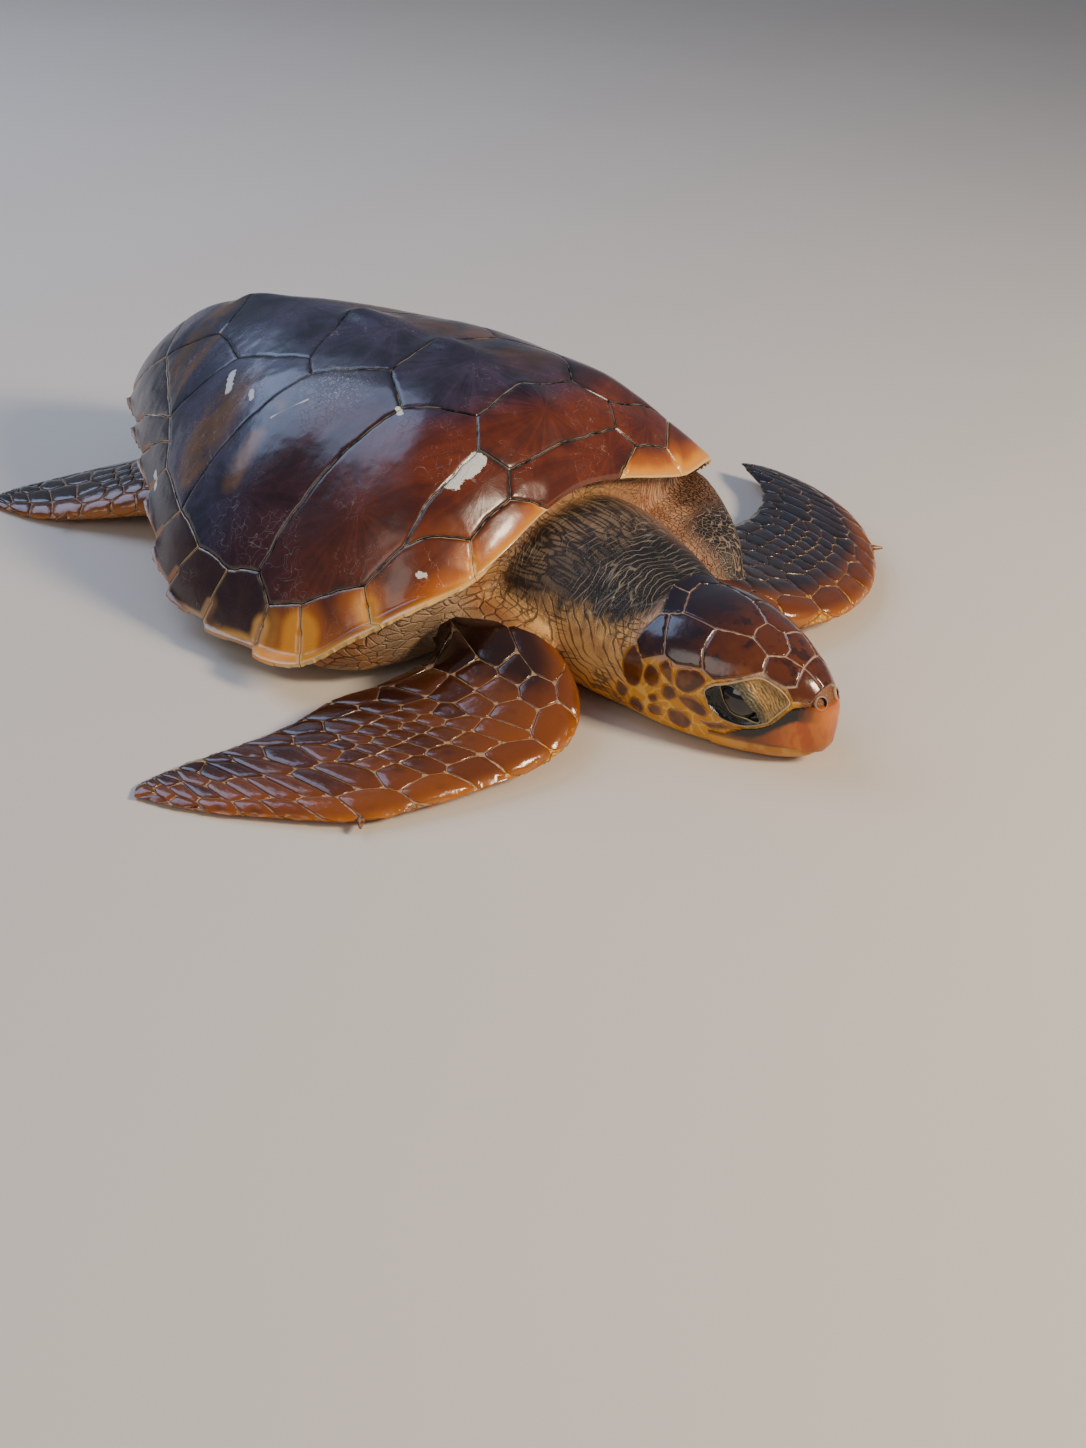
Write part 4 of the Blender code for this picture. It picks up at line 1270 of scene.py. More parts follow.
def scale_material():
    scale = Surface("flipper-scale-horn")
    lead, tone = scale.measure("lead"), scale.measure("tone")
    mottle = scale.clouds(90, 3)
    # painted light: a brighter, warmer tone over the front part of the top, where the light falls
    lit = tint((0.15, 0.036, 0.007), (0.25, 0.062, 0.006), tone)
    # painted shade: a near-black tone for the top of the limbs that lie in shade
    painted_shade = tint((0.0065, 0.0055, 0.0085), (0.022, 0.013, 0.013), tone)
    # painted shade where the flipper's root meets the body under the shell
    root = ((scale.measure("along") + (mottle - 0.5) * 0.06).rise(0.275, 0.215)
            * lead.rise(0.12, 0.36))
    line = tint((0.44, 0.26, 0.14), (0.10, 0.045, 0.024), lead.rise(0.55, 0.85))
    colour = coated(tint((0.060, 0.016, 0.007), (0.150, 0.042, 0.011),
                         (tone * 0.7 + mottle * 0.6).rise(0.3, 0.95)),
                    ((0.030, 0.009, 0.006), lead.rise(0.52, 0.80) * (1 - tone * 0.35)),
                    (lit, lead.rise(0.44, 0.14) * 0.8),
                    ((0.46, 0.145, 0.010), lead.rise(0.09, -0.04)),
                    (painted_shade, scale.measure("dusk") * lead.rise(0.12, 0.30) * 0.92),
                    ((0.012, 0.005, 0.004), root * 0.85),
                    ((0.020, 0.007, 0.005),
                     scale.measure("core").rise(0.0045, 0.0) * mottle.rise(0.4, 0.6) * 0.55),
                    (line, scale.measure("height").rise(0.00042, 0.0) * 0.75))
    return scale.set(colour, scale.clouds(300, 3) + mottle * 2, 0.20, 0.00022,
                     Coat_Weight=0.3, Coat_Roughness=0.1)


SCALE_HORN = scale_material()
for number, title in enumerate(LIMBS):
    coat = limb_scales(title, 40 + number)
    finish_piece(coat, SCALE_HORN, "scaled_skin", angle=60)
    print(coat.name, len(coat.data.polygons), "faces")

# %% [markdown]
# ## Head scales
#
# A loggerhead's head carries large smooth scales: a wide one on the crown, a pair over the eyes,
# the prefrontals between eyes and nose, and small ones on the cheeks. They are placed like
# countries on a map, by named corners that neighbours share. A corner is given by s and by the
# length around the head from the middle of the crown, both in layout units, and right is positive.

# %% Corners and scales of the crown
HEAD_CORNERS = {
    "nape": (-0.148, 0.017), "nape_left": (-0.146, -0.041), "nape_far": (-0.158, -0.078),
    "temple_top": (-0.173, 0.078), "temple_back": (-0.166, 0.134), "temple_low": (-0.186, 0.157),
    "temple_join": (-0.219, 0.138), "temple_mid": (-0.186, 0.073), "crown_back": (-0.203, 0.063),
    "crown_rear": (-0.176, 0.010), "crown_rear_left": (-0.167, -0.028),
    "crown_left": (-0.188, -0.062), "crown_left_mid": (-0.255, -0.040),
    "crown_point": (-0.304, -0.006), "crown_right": (-0.263, 0.063), "brow_back": (-0.266, 0.101),
    "brow_low": (-0.278, 0.127), "temple_front": (-0.240, 0.143), "brow_front": (-0.312, 0.038),
    "brow_nose": (-0.344, 0.046), "brow_eye": (-0.353, 0.069), "lid_top": (-0.330, 0.101),
    "lid_back": (-0.297, 0.131), "front_top": (-0.304, 0.019), "front_left": (-0.333, -0.012),
    "front_tip": (-0.359, 0.010), "front_right": (-0.362, 0.026), "nose_mid": (-0.389, 0.016),
    "nose_low": (-0.397, 0.046), "nose_eye": (-0.386, 0.060), "nose_back": (-0.364, 0.070),
    "snout_top": (-0.424, 0.010), "snout_side": (-0.421, 0.040), "snout_low": (-0.401, 0.067),
    "left_brow": (-0.338, -0.062), "left_nose": (-0.381, -0.030), "left_low": (-0.397, -0.050),
    "left_eye": (-0.386, -0.062), "left_back": (-0.364, -0.071),
    "left_temple_top": (-0.173, -0.094), "left_brow_eye": (-0.353, -0.075),
}
MIRRORED_CORNERS = ("temple_back temple_low temple_join temple_front brow_back brow_low lid_top"
                    " lid_back snout_side snout_low")
for corner in MIRRORED_CORNERS.split():
    HEAD_CORNERS["left_" + corner] = (HEAD_CORNERS[corner][0], -HEAD_CORNERS[corner][1])
HEAD_SCALES = {
    "nape-right": "temple_top nape crown_rear crown_back temple_mid",
    "nape-left": "nape nape_left nape_far crown_left crown_rear_left crown_rear",
    "nape-far": "nape_far left_temple_top left_temple_join crown_left",
    "temple-right": "temple_top temple_back temple_low temple_join temple_mid",
    "parietal-right": "temple_mid crown_back crown_right brow_back brow_low temple_front"
                      " temple_join",
    "brow-right": "crown_right brow_front brow_nose brow_eye lid_top lid_back brow_low brow_back",
    "crown": "crown_back crown_rear crown_rear_left crown_left crown_left_mid crown_point"
             " front_top brow_front crown_right",
    "frontal": "brow_front front_top crown_point front_left front_tip front_right brow_nose",
    "prefrontal-right": "brow_nose front_right nose_mid nose_low nose_eye nose_back brow_eye",
    "prefrontal-mid": "front_left left_brow left_nose nose_mid front_right front_tip",
    "nasal-right": "nose_mid snout_top snout_side snout_low nose_eye nose_low",
    "nasal-left": "left_nose nose_mid snout_top left_snout_side left_snout_low left_eye left_low",
    "prefrontal-left": "left_brow left_back left_eye left_low left_nose",
    "brow-left": "crown_left_mid crown_point front_left left_brow left_brow_eye left_lid_top"
                 " left_lid_back left_brow_low left_brow_back",
    "parietal-left": "crown_left crown_left_mid left_brow_back left_brow_low left_temple_front"
                     " left_temple_join",
    "temple-left": "left_temple_top left_temple_back left_temple_low left_temple_join",
}
CHEEK_SCALES = (
    ((-0.167, 0.141), (-0.156, 0.172), (-0.168, 0.199), (-0.188, 0.196), (-0.191, 0.164)),
    ((-0.196, 0.165), (-0.195, 0.183), (-0.209, 0.190), (-0.221, 0.183), (-0.220, 0.165),
     (-0.204, 0.158)),
    ((-0.219, 0.146), (-0.216, 0.157), (-0.230, 0.169), (-0.243, 0.171), (-0.237, 0.148),
     (-0.226, 0.141)),
    ((-0.245, 0.150), (-0.248, 0.170), (-0.266, 0.173), (-0.283, 0.153), (-0.288, 0.139),
     (-0.274, 0.131), (-0.254, 0.139)),
    ((-0.228, 0.181), (-0.228, 0.197), (-0.241, 0.200), (-0.252, 0.187), (-0.247, 0.177),
     (-0.237, 0.175)),
    ((-0.206, 0.208), (-0.212, 0.219), (-0.224, 0.211), (-0.220, 0.200)),
    ((-0.254, 0.183), (-0.264, 0.195), (-0.288, 0.196), (-0.298, 0.185), (-0.287, 0.172),
     (-0.270, 0.173)),
    ((-0.206, 0.229), (-0.214, 0.241), (-0.230, 0.233), (-0.229, 0.218), (-0.217, 0.218)),
    ((-0.240, 0.217), (-0.243, 0.236), (-0.262, 0.239), (-0.275, 0.220), (-0.265, 0.207),
     (-0.250, 0.210)),
    ((-0.289, 0.201), (-0.306, 0.205), (-0.334, 0.182), (-0.343, 0.171), (-0.322, 0.180),
     (-0.303, 0.193)),
    ((-0.178, 0.222), (-0.172, 0.240), (-0.190, 0.252), (-0.200, 0.236), (-0.192, 0.222)),
    ((-0.155, 0.205), (-0.150, 0.224), (-0.163, 0.231), (-0.172, 0.212)),
)
CHEEK_GROWTH = 1.12            # share the cheek scales are widened to close up
CHEEK_RISE = 0.0005
HEAD_GAP = 0.0003              # metres of skin between two scales
HEAD_RISE = 0.0008
HEAD_GRID = 0.0030
HEAD_STEP = 0.0026             # metres between the points of an outline
HEAD_CORNER_CUT = 0.14
HEAD_UV = (3, 5)               # enlargement of the head's scales in their UV map, across and along
EDGE_WIDTH = 0.0009            # metres over which a scale's edge is rounded
EDGE_DEPTH = 0.0006            # metres it dips under the skin


def closed_curve(points, steps):
    """Closed smooth curve through points, with some steps between two of them."""
    points = np.asarray(points, float)
    wrapped = np.concatenate([points[-1:], points, points[:2]])
    return curve_through(wrapped, 1 + np.arange(len(points) * steps) / steps)


def head_flat(points, side=1):
    """Flat places on the unrolled head in metres from (s, length around)."""
    s, around = np.array(points).T
    return -side * around * UNIT, s * UNIT


def head_places(p, q):
    """Places on the head's tube for flat ones."""
    return HEAD_WRAP.at(-q, -p)


def head_scale(name, corners, rise, gap, tone, cheek=0.0):
    """One scale as a fine sheet laid on the skin, its edge rounded down into it."""
    p, q = head_flat(corners)
    if cheek:
        p, q = closed_curve(np.stack([p, q], axis=1), 6).T
    else:
        outline = np.stack(finer(p, q, HEAD_STEP), axis=1)
        p, q = corners_cut(corners_cut(outline, HEAD_CORNER_CUT), HEAD_CORNER_CUT).T
    sheet = flat_sheet(name, p, q, HEAD_GRID, 2)
    flat = coordinates(sheet)
    edge = loop_distance(flat, ring(flat_points(p, q)))
    drawn = np.maximum(edge - gap / 2, 0)
    height = rise * (1 - (1 - smoothstep(drawn, -0.0002, EDGE_WIDTH)) ** 2)
    height -= EDGE_DEPTH * (1 - smoothstep(edge, 0.0, 0.00025))
    set_measures(sheet, edge=drawn, tone=tone, cheek=cheek)
    p, q = flat[:, :2].T
    lay_out(sheet, 0.5 + p * HEAD_UV[0], -0.1 - q * HEAD_UV[1])
    set_coordinates(sheet, GROUND.lay(head_places(p, q), height))
    return sheet


def head_coat(rng):
    made = [head_scale(name, [HEAD_CORNERS[c] for c in corners.split()], HEAD_RISE, HEAD_GAP,
                       rng.uniform(0, 1)) for name, corners in HEAD_SCALES.items()]
    for corners in CHEEK_SCALES:
        for side in (1, -1):
            middle = np.mean(corners, axis=0)
            points = (middle + (np.array(corners) - middle) * CHEEK_GROWTH) * (1, side)
            made.append(head_scale("cheek", points, CHEEK_RISE, 0.0, rng.uniform(0, 1), 1.0))
    return join(made, "scales-head")

# %% Head scale material
def head_scale_material():
    scale = Surface("head-scale-horn")
    edge, tone = scale.measure("edge"), scale.measure("tone")
    mottle = scale.clouds(75, 4)
    shade = (scale.y.rise(-0.225, -0.275) + tone * 0.3 + (mottle - 0.5) * 2.4).clipped()
    colour = coated(tint((0.040, 0.011, 0.008), (0.105, 0.026, 0.008), shade),
                    ((0.22, 0.068, 0.012),
                     mottle.rise(0.50, 0.68) * scale.z.rise(0.056, 0.036) * 0.9),
                    ((0.014, 0.007, 0.009), scale.clouds(130, 4).rise(0.53, 0.64) * 0.7),
                    ((0.010, 0.007, 0.016),
                     scale.y.rise(-0.255, -0.212) * scale.z.rise(0.038, 0.052) * 0.9),
                    ((0.46, 0.30, 0.23), edge.rise(0.00045, 0.0001) * 0.85))
    brown = tint((0.085, 0.020, 0.003), (0.20, 0.062, 0.005), scale.clouds(130, 3).rise(0.42, 0.7))
    cheek = coated((0.66, 0.29, 0.016), ((0.40, 0.145, 0.008), edge.rise(0.0, 0.0008)),
                   (brown, (edge + (mottle - 0.5) * 0.0016).rise(0.0005, 0.0019)))
    colour = tint(colour, cheek, scale.measure("cheek"))
    return scale.set(colour, scale.clouds(350, 3), 0.20, 0.00012,
                     Coat_Weight=0.3, Coat_Roughness=0.1)


HEAD_HORN = head_scale_material()
coat = head_coat(np.random.default_rng(7))
finish_piece(coat, HEAD_HORN, "scaled_skin", angle=70)
print(coat.name, len(coat.data.polygons), "faces")

# %% [markdown]
# ## Eyes and lids
#
# The eye is a large dark ball that shows only through a slanting, lens-shaped opening. The upper
# lid is heavy and grey-green, with folds that follow the opening; in front of it lies loose tan
# skin. The whole region is framed by a thin raised rim. Ball and lids are separate here: the lids
# are one fine sheet that dives below the ball inside the opening, so the lid's edge is cut by the
# ball itself.

# %% Outline of the eye region and of the opening: s, length round from the crown
EYE_RIM = (
    (-0.287, 0.152), (-0.292, 0.165), (-0.304, 0.175), (-0.320, 0.177), (-0.343, 0.167),
    (-0.362, 0.149), (-0.379, 0.124), (-0.392, 0.094), (-0.399, 0.073), (-0.390, 0.067),
    (-0.372, 0.070), (-0.353, 0.077), (-0.338, 0.092), (-0.324, 0.109), (-0.310, 0.124),
    (-0.297, 0.136),
)
OPENING = (
    (-0.3085, 0.130), (-0.317, 0.123), (-0.328, 0.1205), (-0.340, 0.122), (-0.353, 0.127),
    (-0.365, 0.135), (-0.358, 0.144), (-0.345, 0.150), (-0.330, 0.1525), (-0.317, 0.147),
)
EYE_CENTRE = (-0.338, 0.133)
EYE_RADIUS = 0.0130            # metres
EYE_PROUD = 0.0010             # metres the ball stands out of the skin
LID = 0.0006                   # metres the lid's edge stands above the ball
LID_FLOOR = -0.0011            # metres of the lid's deepest place under the skin
LID_BLEND = 0.0004             # metres over which it leaves the ball
LID_GRID = 0.0012
LID_UV = 6                     # enlargement of the lids in their UV map
FOLD = 0.00018                 # metres of half a fold's height
FOLD_PERIOD = 0.0019
PROBE = 0.01                   # metres over which the skin's direction is read


def foot_and_direction(place, side):
    """A place of the head on the skin, and the outward direction there."""
    where = head_places(*head_flat([place], side))
    foot = GROUND.lay(where, [0.0])[0]
    return foot, GROUND.lay(where, [1.0])[0] - foot


def eye_ball_centre(side):
    foot, normal = foot_and_direction(EYE_CENTRE, side)
    return foot + normal * (EYE_PROUD - EYE_RADIUS)


def inside_loop(points, loop):
    """Whether flat points lie in a closed loop: an odd number of crossings to the right."""
    out = np.zeros(len(points), bool)
    for (x1, y1), (x2, y2) in zip(loop, np.roll(loop, -1, axis=0)):
        crosses = (y1 > points[:, 1]) != (y2 > points[:, 1])
        at_y = (x2 - x1) * (points[:, 1] - y1) / (y2 - y1 + 1e-12) + x1
        out ^= crosses & (points[:, 0] < at_y)
    return out


def lid_height(places, base, normal, centre, away, edge):
    """Height of the lids above the skin, and that of their folds alone."""
    toward = ((base - centre) * normal).sum(axis=1)
    beside = ((base - centre) ** 2).sum(axis=1) - toward ** 2
    ball = -toward + np.sqrt(np.maximum(EYE_RADIUS ** 2 - beside, 1e-8))
    bent = away + 0.0016 * wobble(places, 0.005, 9, 3)
    folds = FOLD * np.cos(2 * math.pi * (bent - 0.0003) / FOLD_PERIOD)
    folds *= smoothstep(away, 0, 0.0012)
    folds *= 0.45 + 0.55 * smoothstep(wobble(places, 0.004, 31, 2), -0.3, 0.3)
    folds += 0.00012 * wobble(places, 0.0011, 9, 2) * smoothstep(away, 0.003, 0.006)
    lid = np.logaddexp((ball + LID) / LID_BLEND, LID_FLOOR / LID_BLEND) * LID_BLEND + folds
    lid -= 0.0016 * (1 - smoothstep(away, -0.0001, 0.00035))
    bead = HEAD_RISE * 0.9 * np.exp(-((edge - 0.00065) / 0.00045) ** 2)
    height = lid * smoothstep(edge, 0.0006, 0.0030) + bead
    return height - 0.0010 * (1 - smoothstep(edge, 0.0, 0.0004)), folds


def build_lids(title, side, material):
    rim = closed_curve(np.stack(head_flat(EYE_RIM, side), axis=1), 5).T
    opening = closed_curve(np.stack(head_flat(OPENING, side), axis=1), 6)
    lids = flat_sheet(f"eyelids-{title}", *rim, LID_GRID, 3)
    flat = coordinates(lids)
    p, q = flat[:, :2].T
    edge = loop_distance(flat, ring(flat_points(*rim)))
    away = loop_distance(flat, ring(flat_points(*opening.T)))
    away[inside_loop(flat[:, :2], opening)] *= -1
    places = head_places(p, q)
    base = GROUND.lay(places, np.zeros(len(flat)))
    normal = (GROUND.lay(places, np.full(len(flat), PROBE)) - base) / PROBE
    height, folds = lid_height(places, base, normal, eye_ball_centre(side), away, edge)
    set_measures(lids, edge=edge, away=away, fold=folds / FOLD,
                 upper=smoothstep(-np.abs(p) / UNIT, -0.139, -0.128))
    lay_out(lids, 0.5 + p * LID_UV, -0.1 - q * LID_UV)
    set_coordinates(lids, base + normal * height[:, None])
    finish_piece(lids, material, "scaled_skin", angle=180)
    return lids


def build_eye(title, side, material):
    ball = started(f"eyeball-{title}", bpy.ops.mesh.primitive_uv_sphere_add, segments=64,
                   ring_count=40, radius=EYE_RADIUS)
    set_coordinates(ball, coordinates(ball) + eye_ball_centre(side))
    finish_piece(ball, material, "eye_surface", f"eye_{title}", angle=180)

# %% Eye and lid materials
def lid_material():
    lid = Surface("eyelid-skin")
    away, edge, upper = lid.measure("away"), lid.measure("edge"), lid.measure("upper")
    front = lid.y.rise(-0.2715, -0.2765)
    tan = tint((0.46, 0.27, 0.085), (0.30, 0.155, 0.045), lid.clouds(500, 3).rise(0.4, 0.7))
    heavy = coated(tint((0.15, 0.125, 0.062), (0.075, 0.065, 0.036),
                        lid.clouds(900, 2).rise(0.4, 0.62)),
                   (tan, (away.rise(0.0040, 0.0075) + front).clipped()),
                   # painted shade in the valleys of the upper lid's folds
                   ((0.035, 0.026, 0.014), lid.measure("fold").rise(0.1, -0.9) * 0.6 * upper))
    colour = coated((0.007, 0.006, 0.005), (heavy, upper),
                    ((0.30, 0.25, 0.13),
                     away.rise(0.00062, 0.00045) * away.rise(0.0001, 0.0003) * 0.8),
                    ((0.010, 0.008, 0.007), away.rise(0.00012, -0.0001)),
                    ((0.50, 0.36, 0.20), edge.rise(0.0010, 0.0006)))
    return lid.set(colour, lid.clouds(1500, 3), upper * 0.22 + 0.20, 0.00010)


def eye_material():
    eye = Surface("eye-wet-dark")
    colour = tint((0.004, 0.003, 0.003), (0.016, 0.009, 0.005), eye.clouds(260, 3).rise(0.45, 0.7))
    return eye.set(colour, None, 0.05, Coat_Weight=0.6, Coat_Roughness=0.03)


LID_SKIN = lid_material()
EYE_DARK = eye_material()
for title, side in (("right", 1), ("left", -1)):
    build_eye(title, side, EYE_DARK)
    made = build_lids(title, side, LID_SKIN)
    print(made.name, len(made.data.polygons), "faces")

# %% [markdown]
# ## Beak and jaw
#
# Turtles have no teeth; a horny beak covers the jaws. Both halves are cut from a finer and
# slightly wider copy of the head's tube with side-view outlines, the way their solids are, and get
# rounded edges. The upper one is drawn down a little at its tip.

# %% Side views: s, z
BEAK_OUTLINE = (
    (-0.322, 0.0400), (-0.345, 0.0560), (-0.363, 0.0610), (-0.380, 0.0710), (-0.393, 0.0890),
    (-0.402, 0.1020), (-0.418, 0.1060), (-0.500, 0.1060), (-0.500, 0.0360), (-0.360, 0.0395),
)
JAW_OUTLINE = (
    (-0.300, 0.040), (-0.360, 0.0385), (-0.500, 0.0350), (-0.500, -0.10), (-0.300, -0.10),
)
BLOCK_SIDE = 0.2               # layout units from the middle plane to a side of a cutting block
BEAK_POINT = 0.42              # share by which the beak narrows at its lower tip
HORN_BEVEL = 0.00045


def side_block(name, outline):
    """A block across the middle plane from a side view: a circle's face, extruded."""
    block = ngon(name, len(outline))
    set_coordinates(block, np.array([at(-BLOCK_SIDE, s, z) for s, z in outline]))
    across = {"value": (2 * BLOCK_SIDE * UNIT, 0, 0)}
    with editing():
        bpy.ops.mesh.extrude_region_move(TRANSFORM_OT_translate=across)
        bpy.ops.mesh.select_all(action="SELECT")
        bpy.ops.mesh.normals_make_consistent(inside=False)
    return block


def pointed(co, hook):
    """Places on the snout drawn in towards the tip of the beak, and the tip drawn down."""
    _, s, z = laid(co)
    low = 1 - smoothstep(z, 0.030, 0.098)
    share = smoothstep(-s, 0.375, 0.450) * low
    co[:, 0] *= 1 - BEAK_POINT * share
    co[:, 1] += 0.0030 * smoothstep(-s, 0.41, 0.445) * (1 - smoothstep(z, 0.030, 0.055))
    co[:, 2] -= hook * smoothstep(-s, 0.385, 0.438) * (1 - smoothstep(z, 0.036, 0.085))
    return co


def build_horn(name, outline, node, material, grow, hook):
    """Horn that stands out of the head by some metres and is drawn down at its tip by others."""
    horn = tube(name, *HEAD_FORM, 90, 110)
    apply_modifier(horn, "DISPLACE", strength=grow, mid_level=0.0)
    block = side_block(f"{name}-block", outline)
    apply_modifier(horn, "BOOLEAN", operation="INTERSECT", solver="EXACT", object=block)
    bpy.data.objects.remove(block)
    set_coordinates(horn, pointed(coordinates(horn), hook))
    apply_modifier(horn, "BEVEL", width=HORN_BEVEL, segments=2, limit_method="ANGLE",
                   angle_limit=math.radians(40))
    finish_piece(horn, material, "beak_horn", node, angle=45)
    print(name, [round(v * 1000) for v in horn.dimensions], "mm")


def beak_material():
    horn = Surface("beak-horn-smooth")
    s = horn.s
    grain = horn.clouds(1, 3, horn.stretched(60, 260, 60, 0.004))
    upper = (horn.z - 0.0135 - s.rise(-0.350, -0.415) * 0.0125
             + (horn.clouds(140, 3) - 0.5) * 0.004)
    dark = (upper.rise(-0.0016, 0.0014) * (s + (grain - 0.5) * 0.03).rise(-0.436, -0.408)
            * s.rise(-0.322, -0.340))
    colour = coated(tint((0.40, 0.075, 0.004), (0.52, 0.14, 0.012), grain.rise(0.42, 0.62)),
                    ((0.16, 0.042, 0.008), (s + (grain - 0.5) * 0.04).rise(-0.412, -0.368) * 0.9),
                    ((0.36, 0.115, 0.030), spot(horn.place, (0.0, -0.448, 0.045), 0.013) * 0.6),
                    ((0.008, 0.005, 0.004), dark))
    return horn.set(colour, grain, 0.24, 0.00015, Coat_Weight=0.3, Coat_Roughness=0.12)


def jaw_material():
    horn = Surface("jaw-horn-smooth")
    grain = horn.clouds(1, 3, horn.stretched(60, 200, 90, 0.004))
    colour = coated(tint((0.46, 0.17, 0.018), (0.60, 0.27, 0.05), grain.rise(0.4, 0.62)),
                    ((0.66, 0.33, 0.05), horn.s.rise(-0.36, -0.31)),
                    ((0.64, 0.275, 0.018), horn.s.rise(-0.338, -0.306)),
                    # painted shade along the top of the jaw, under the edge of the upper beak
                    ((0.12, 0.04, 0.012), horn.z.rise(0.0098, 0.0118) * 0.8))
    return horn.set(colour, grain, 0.35, 0.00015)


set_coordinates(skin, pointed(coordinates(skin), 0.0))
build_horn("beak-upper-horn", BEAK_OUTLINE, "beak_upper", beak_material(), 0.0002, 0.0030)
build_horn("jaw-lower-horn", JAW_OUTLINE, "jaw_lower", jaw_material(), -0.0003, 0.0)

# %% [markdown]
# ## Nostrils
#
# Two round openings at the top of the beak, each with a thin pale rim. A circle is inset a few
# times with changing depth, like a button, and then laid on the snout.

# %% Nostrils
NOSTRIL_PLACE = (-0.4290, 0.0235)
NOSTRIL_RADIUS = 0.0036
NOSTRIL_SUNK = 0.0008          # metres its outer edge lies under the skin
NOSTRIL_STEPS = ((0.0003, 0.0018), (0.0003, 0.0003), (0.0004, -0.0003), (0.0004, -0.0012))


def nostril_material():
    horn = Surface("nostril-rim")
    inner = horn.measure("inner")
    # near black in the middle: painted shade inside the opening
    colour = coated((0.50, 0.32, 0.22), ((0.006, 0.004, 0.004), inner.rise(0.0007, 0.0010)),
                    ((0.20, 0.08, 0.03), inner.rise(0.0003, 0.0001)))
    return horn.set(colour, horn.clouds(900, 2), 0.3, 0.0001)


def build_nostril(title, side, material):
    made = ngon(f"nostril-{title}", 28, NOSTRIL_RADIUS)
    with editing():
        for inset, rise in NOSTRIL_STEPS:
            bpy.ops.mesh.inset(thickness=inset, depth=rise)
        bpy.ops.mesh.poke()
    flat = coordinates(made)
    set_measures(made, inner=NOSTRIL_RADIUS - np.hypot(flat[:, 0], flat[:, 1]))
    foot, normal = foot_and_direction(NOSTRIL_PLACE, side)
    across = np.cross(normal, (0, 0, 1))
    across /= np.linalg.norm(across)
    turned = np.stack([across, np.cross(normal, across), normal])
    set_coordinates(made, foot + (flat - (0, 0, NOSTRIL_SUNK)) @ turned)
    finish_piece(made, material, "beak_horn", angle=60)
    print(made.name, len(made.data.polygons), "faces")


NOSTRIL = nostril_material()
for title, side in (("right", 1), ("left", -1)):
    build_nostril(title, side, NOSTRIL)

# %% [markdown]
# The skin was kept whole until now, so that everything could be laid on it. Under the lids it is
# pushed in, which makes the eye sockets.

# %% Eye sockets in the skin
SOCKET_DEPTH = 0.0040
SOCKET_REACH = 0.022           # metres from its middle
HEAD_MIDDLE = at(0, -0.34, 0.09)


def sink_sockets():
    co, normals = coordinates(skin), vectors(skin.data.vertex_normals, "vector")
    for side in (1, -1):
        rim = np.stack(head_flat(EYE_RIM, side), axis=1)
        border = head_places(*finer(*rim.T, 0.002))
        middle = head_places(*(rim * 0.55 + rim.mean(axis=0) * 0.45).T).mean(axis=0)
        near = np.where(np.linalg.norm(co - middle, axis=1) < SOCKET_REACH)[0]
        edge = loop_distance(co[near], ring(border))
        axis = (middle - HEAD_MIDDLE) / np.linalg.norm(middle - HEAD_MIDDLE)
        ahead = np.cross(axis, (0, 0, 1))

        def seen_from_the_side(points):
            return np.stack([(points - middle) @ ahead, points[:, 2] - middle[2]], axis=1)

        within = inside_loop(seen_from_the_side(co[near]), seen_from_the_side(border))
        depth = SOCKET_DEPTH * smoothstep(edge, 0.0003, 0.0026) * within
        co[near] -= normals[near] * depth[:, None]
    set_coordinates(skin, co)
    print("sockets sunk", SOCKET_DEPTH * 1000, "mm")


sink_sockets()

# %% [markdown]
# ## Skin material
#
# Between shell and scales the skin is soft and finely folded. On top of the neck it is nearly
# black with pale ridges across it; on the side it is cream and yellow with dark valleys running
# lengthwise; behind the shoulder it is tan with brown lines that follow the rim of the shell. The
# dark of the valleys, lines and creases is painted shade.
# Cells stretched along an axis make folds in one direction, and masks by place choose between the
# zones. Each zone is a function that gives its colour and the relief of its folds.

# %% Zones of the skin
def folds_of(hide, x, y, z, scale, warp=0.004, warp_scale=70):
    """Distance to the nearest fold in a pattern of cells stretched along an axis."""
    return hide.cells(scale, hide.stretched(x, y, z, warp, warp_scale))


def stripes(coordinate, period):
    """Mask of thin parallel lines, a period in metres apart."""
    turned = coordinate * (2 * math.pi / period)
    return turned.math("SINE", turned).rise(0.72, 0.97)


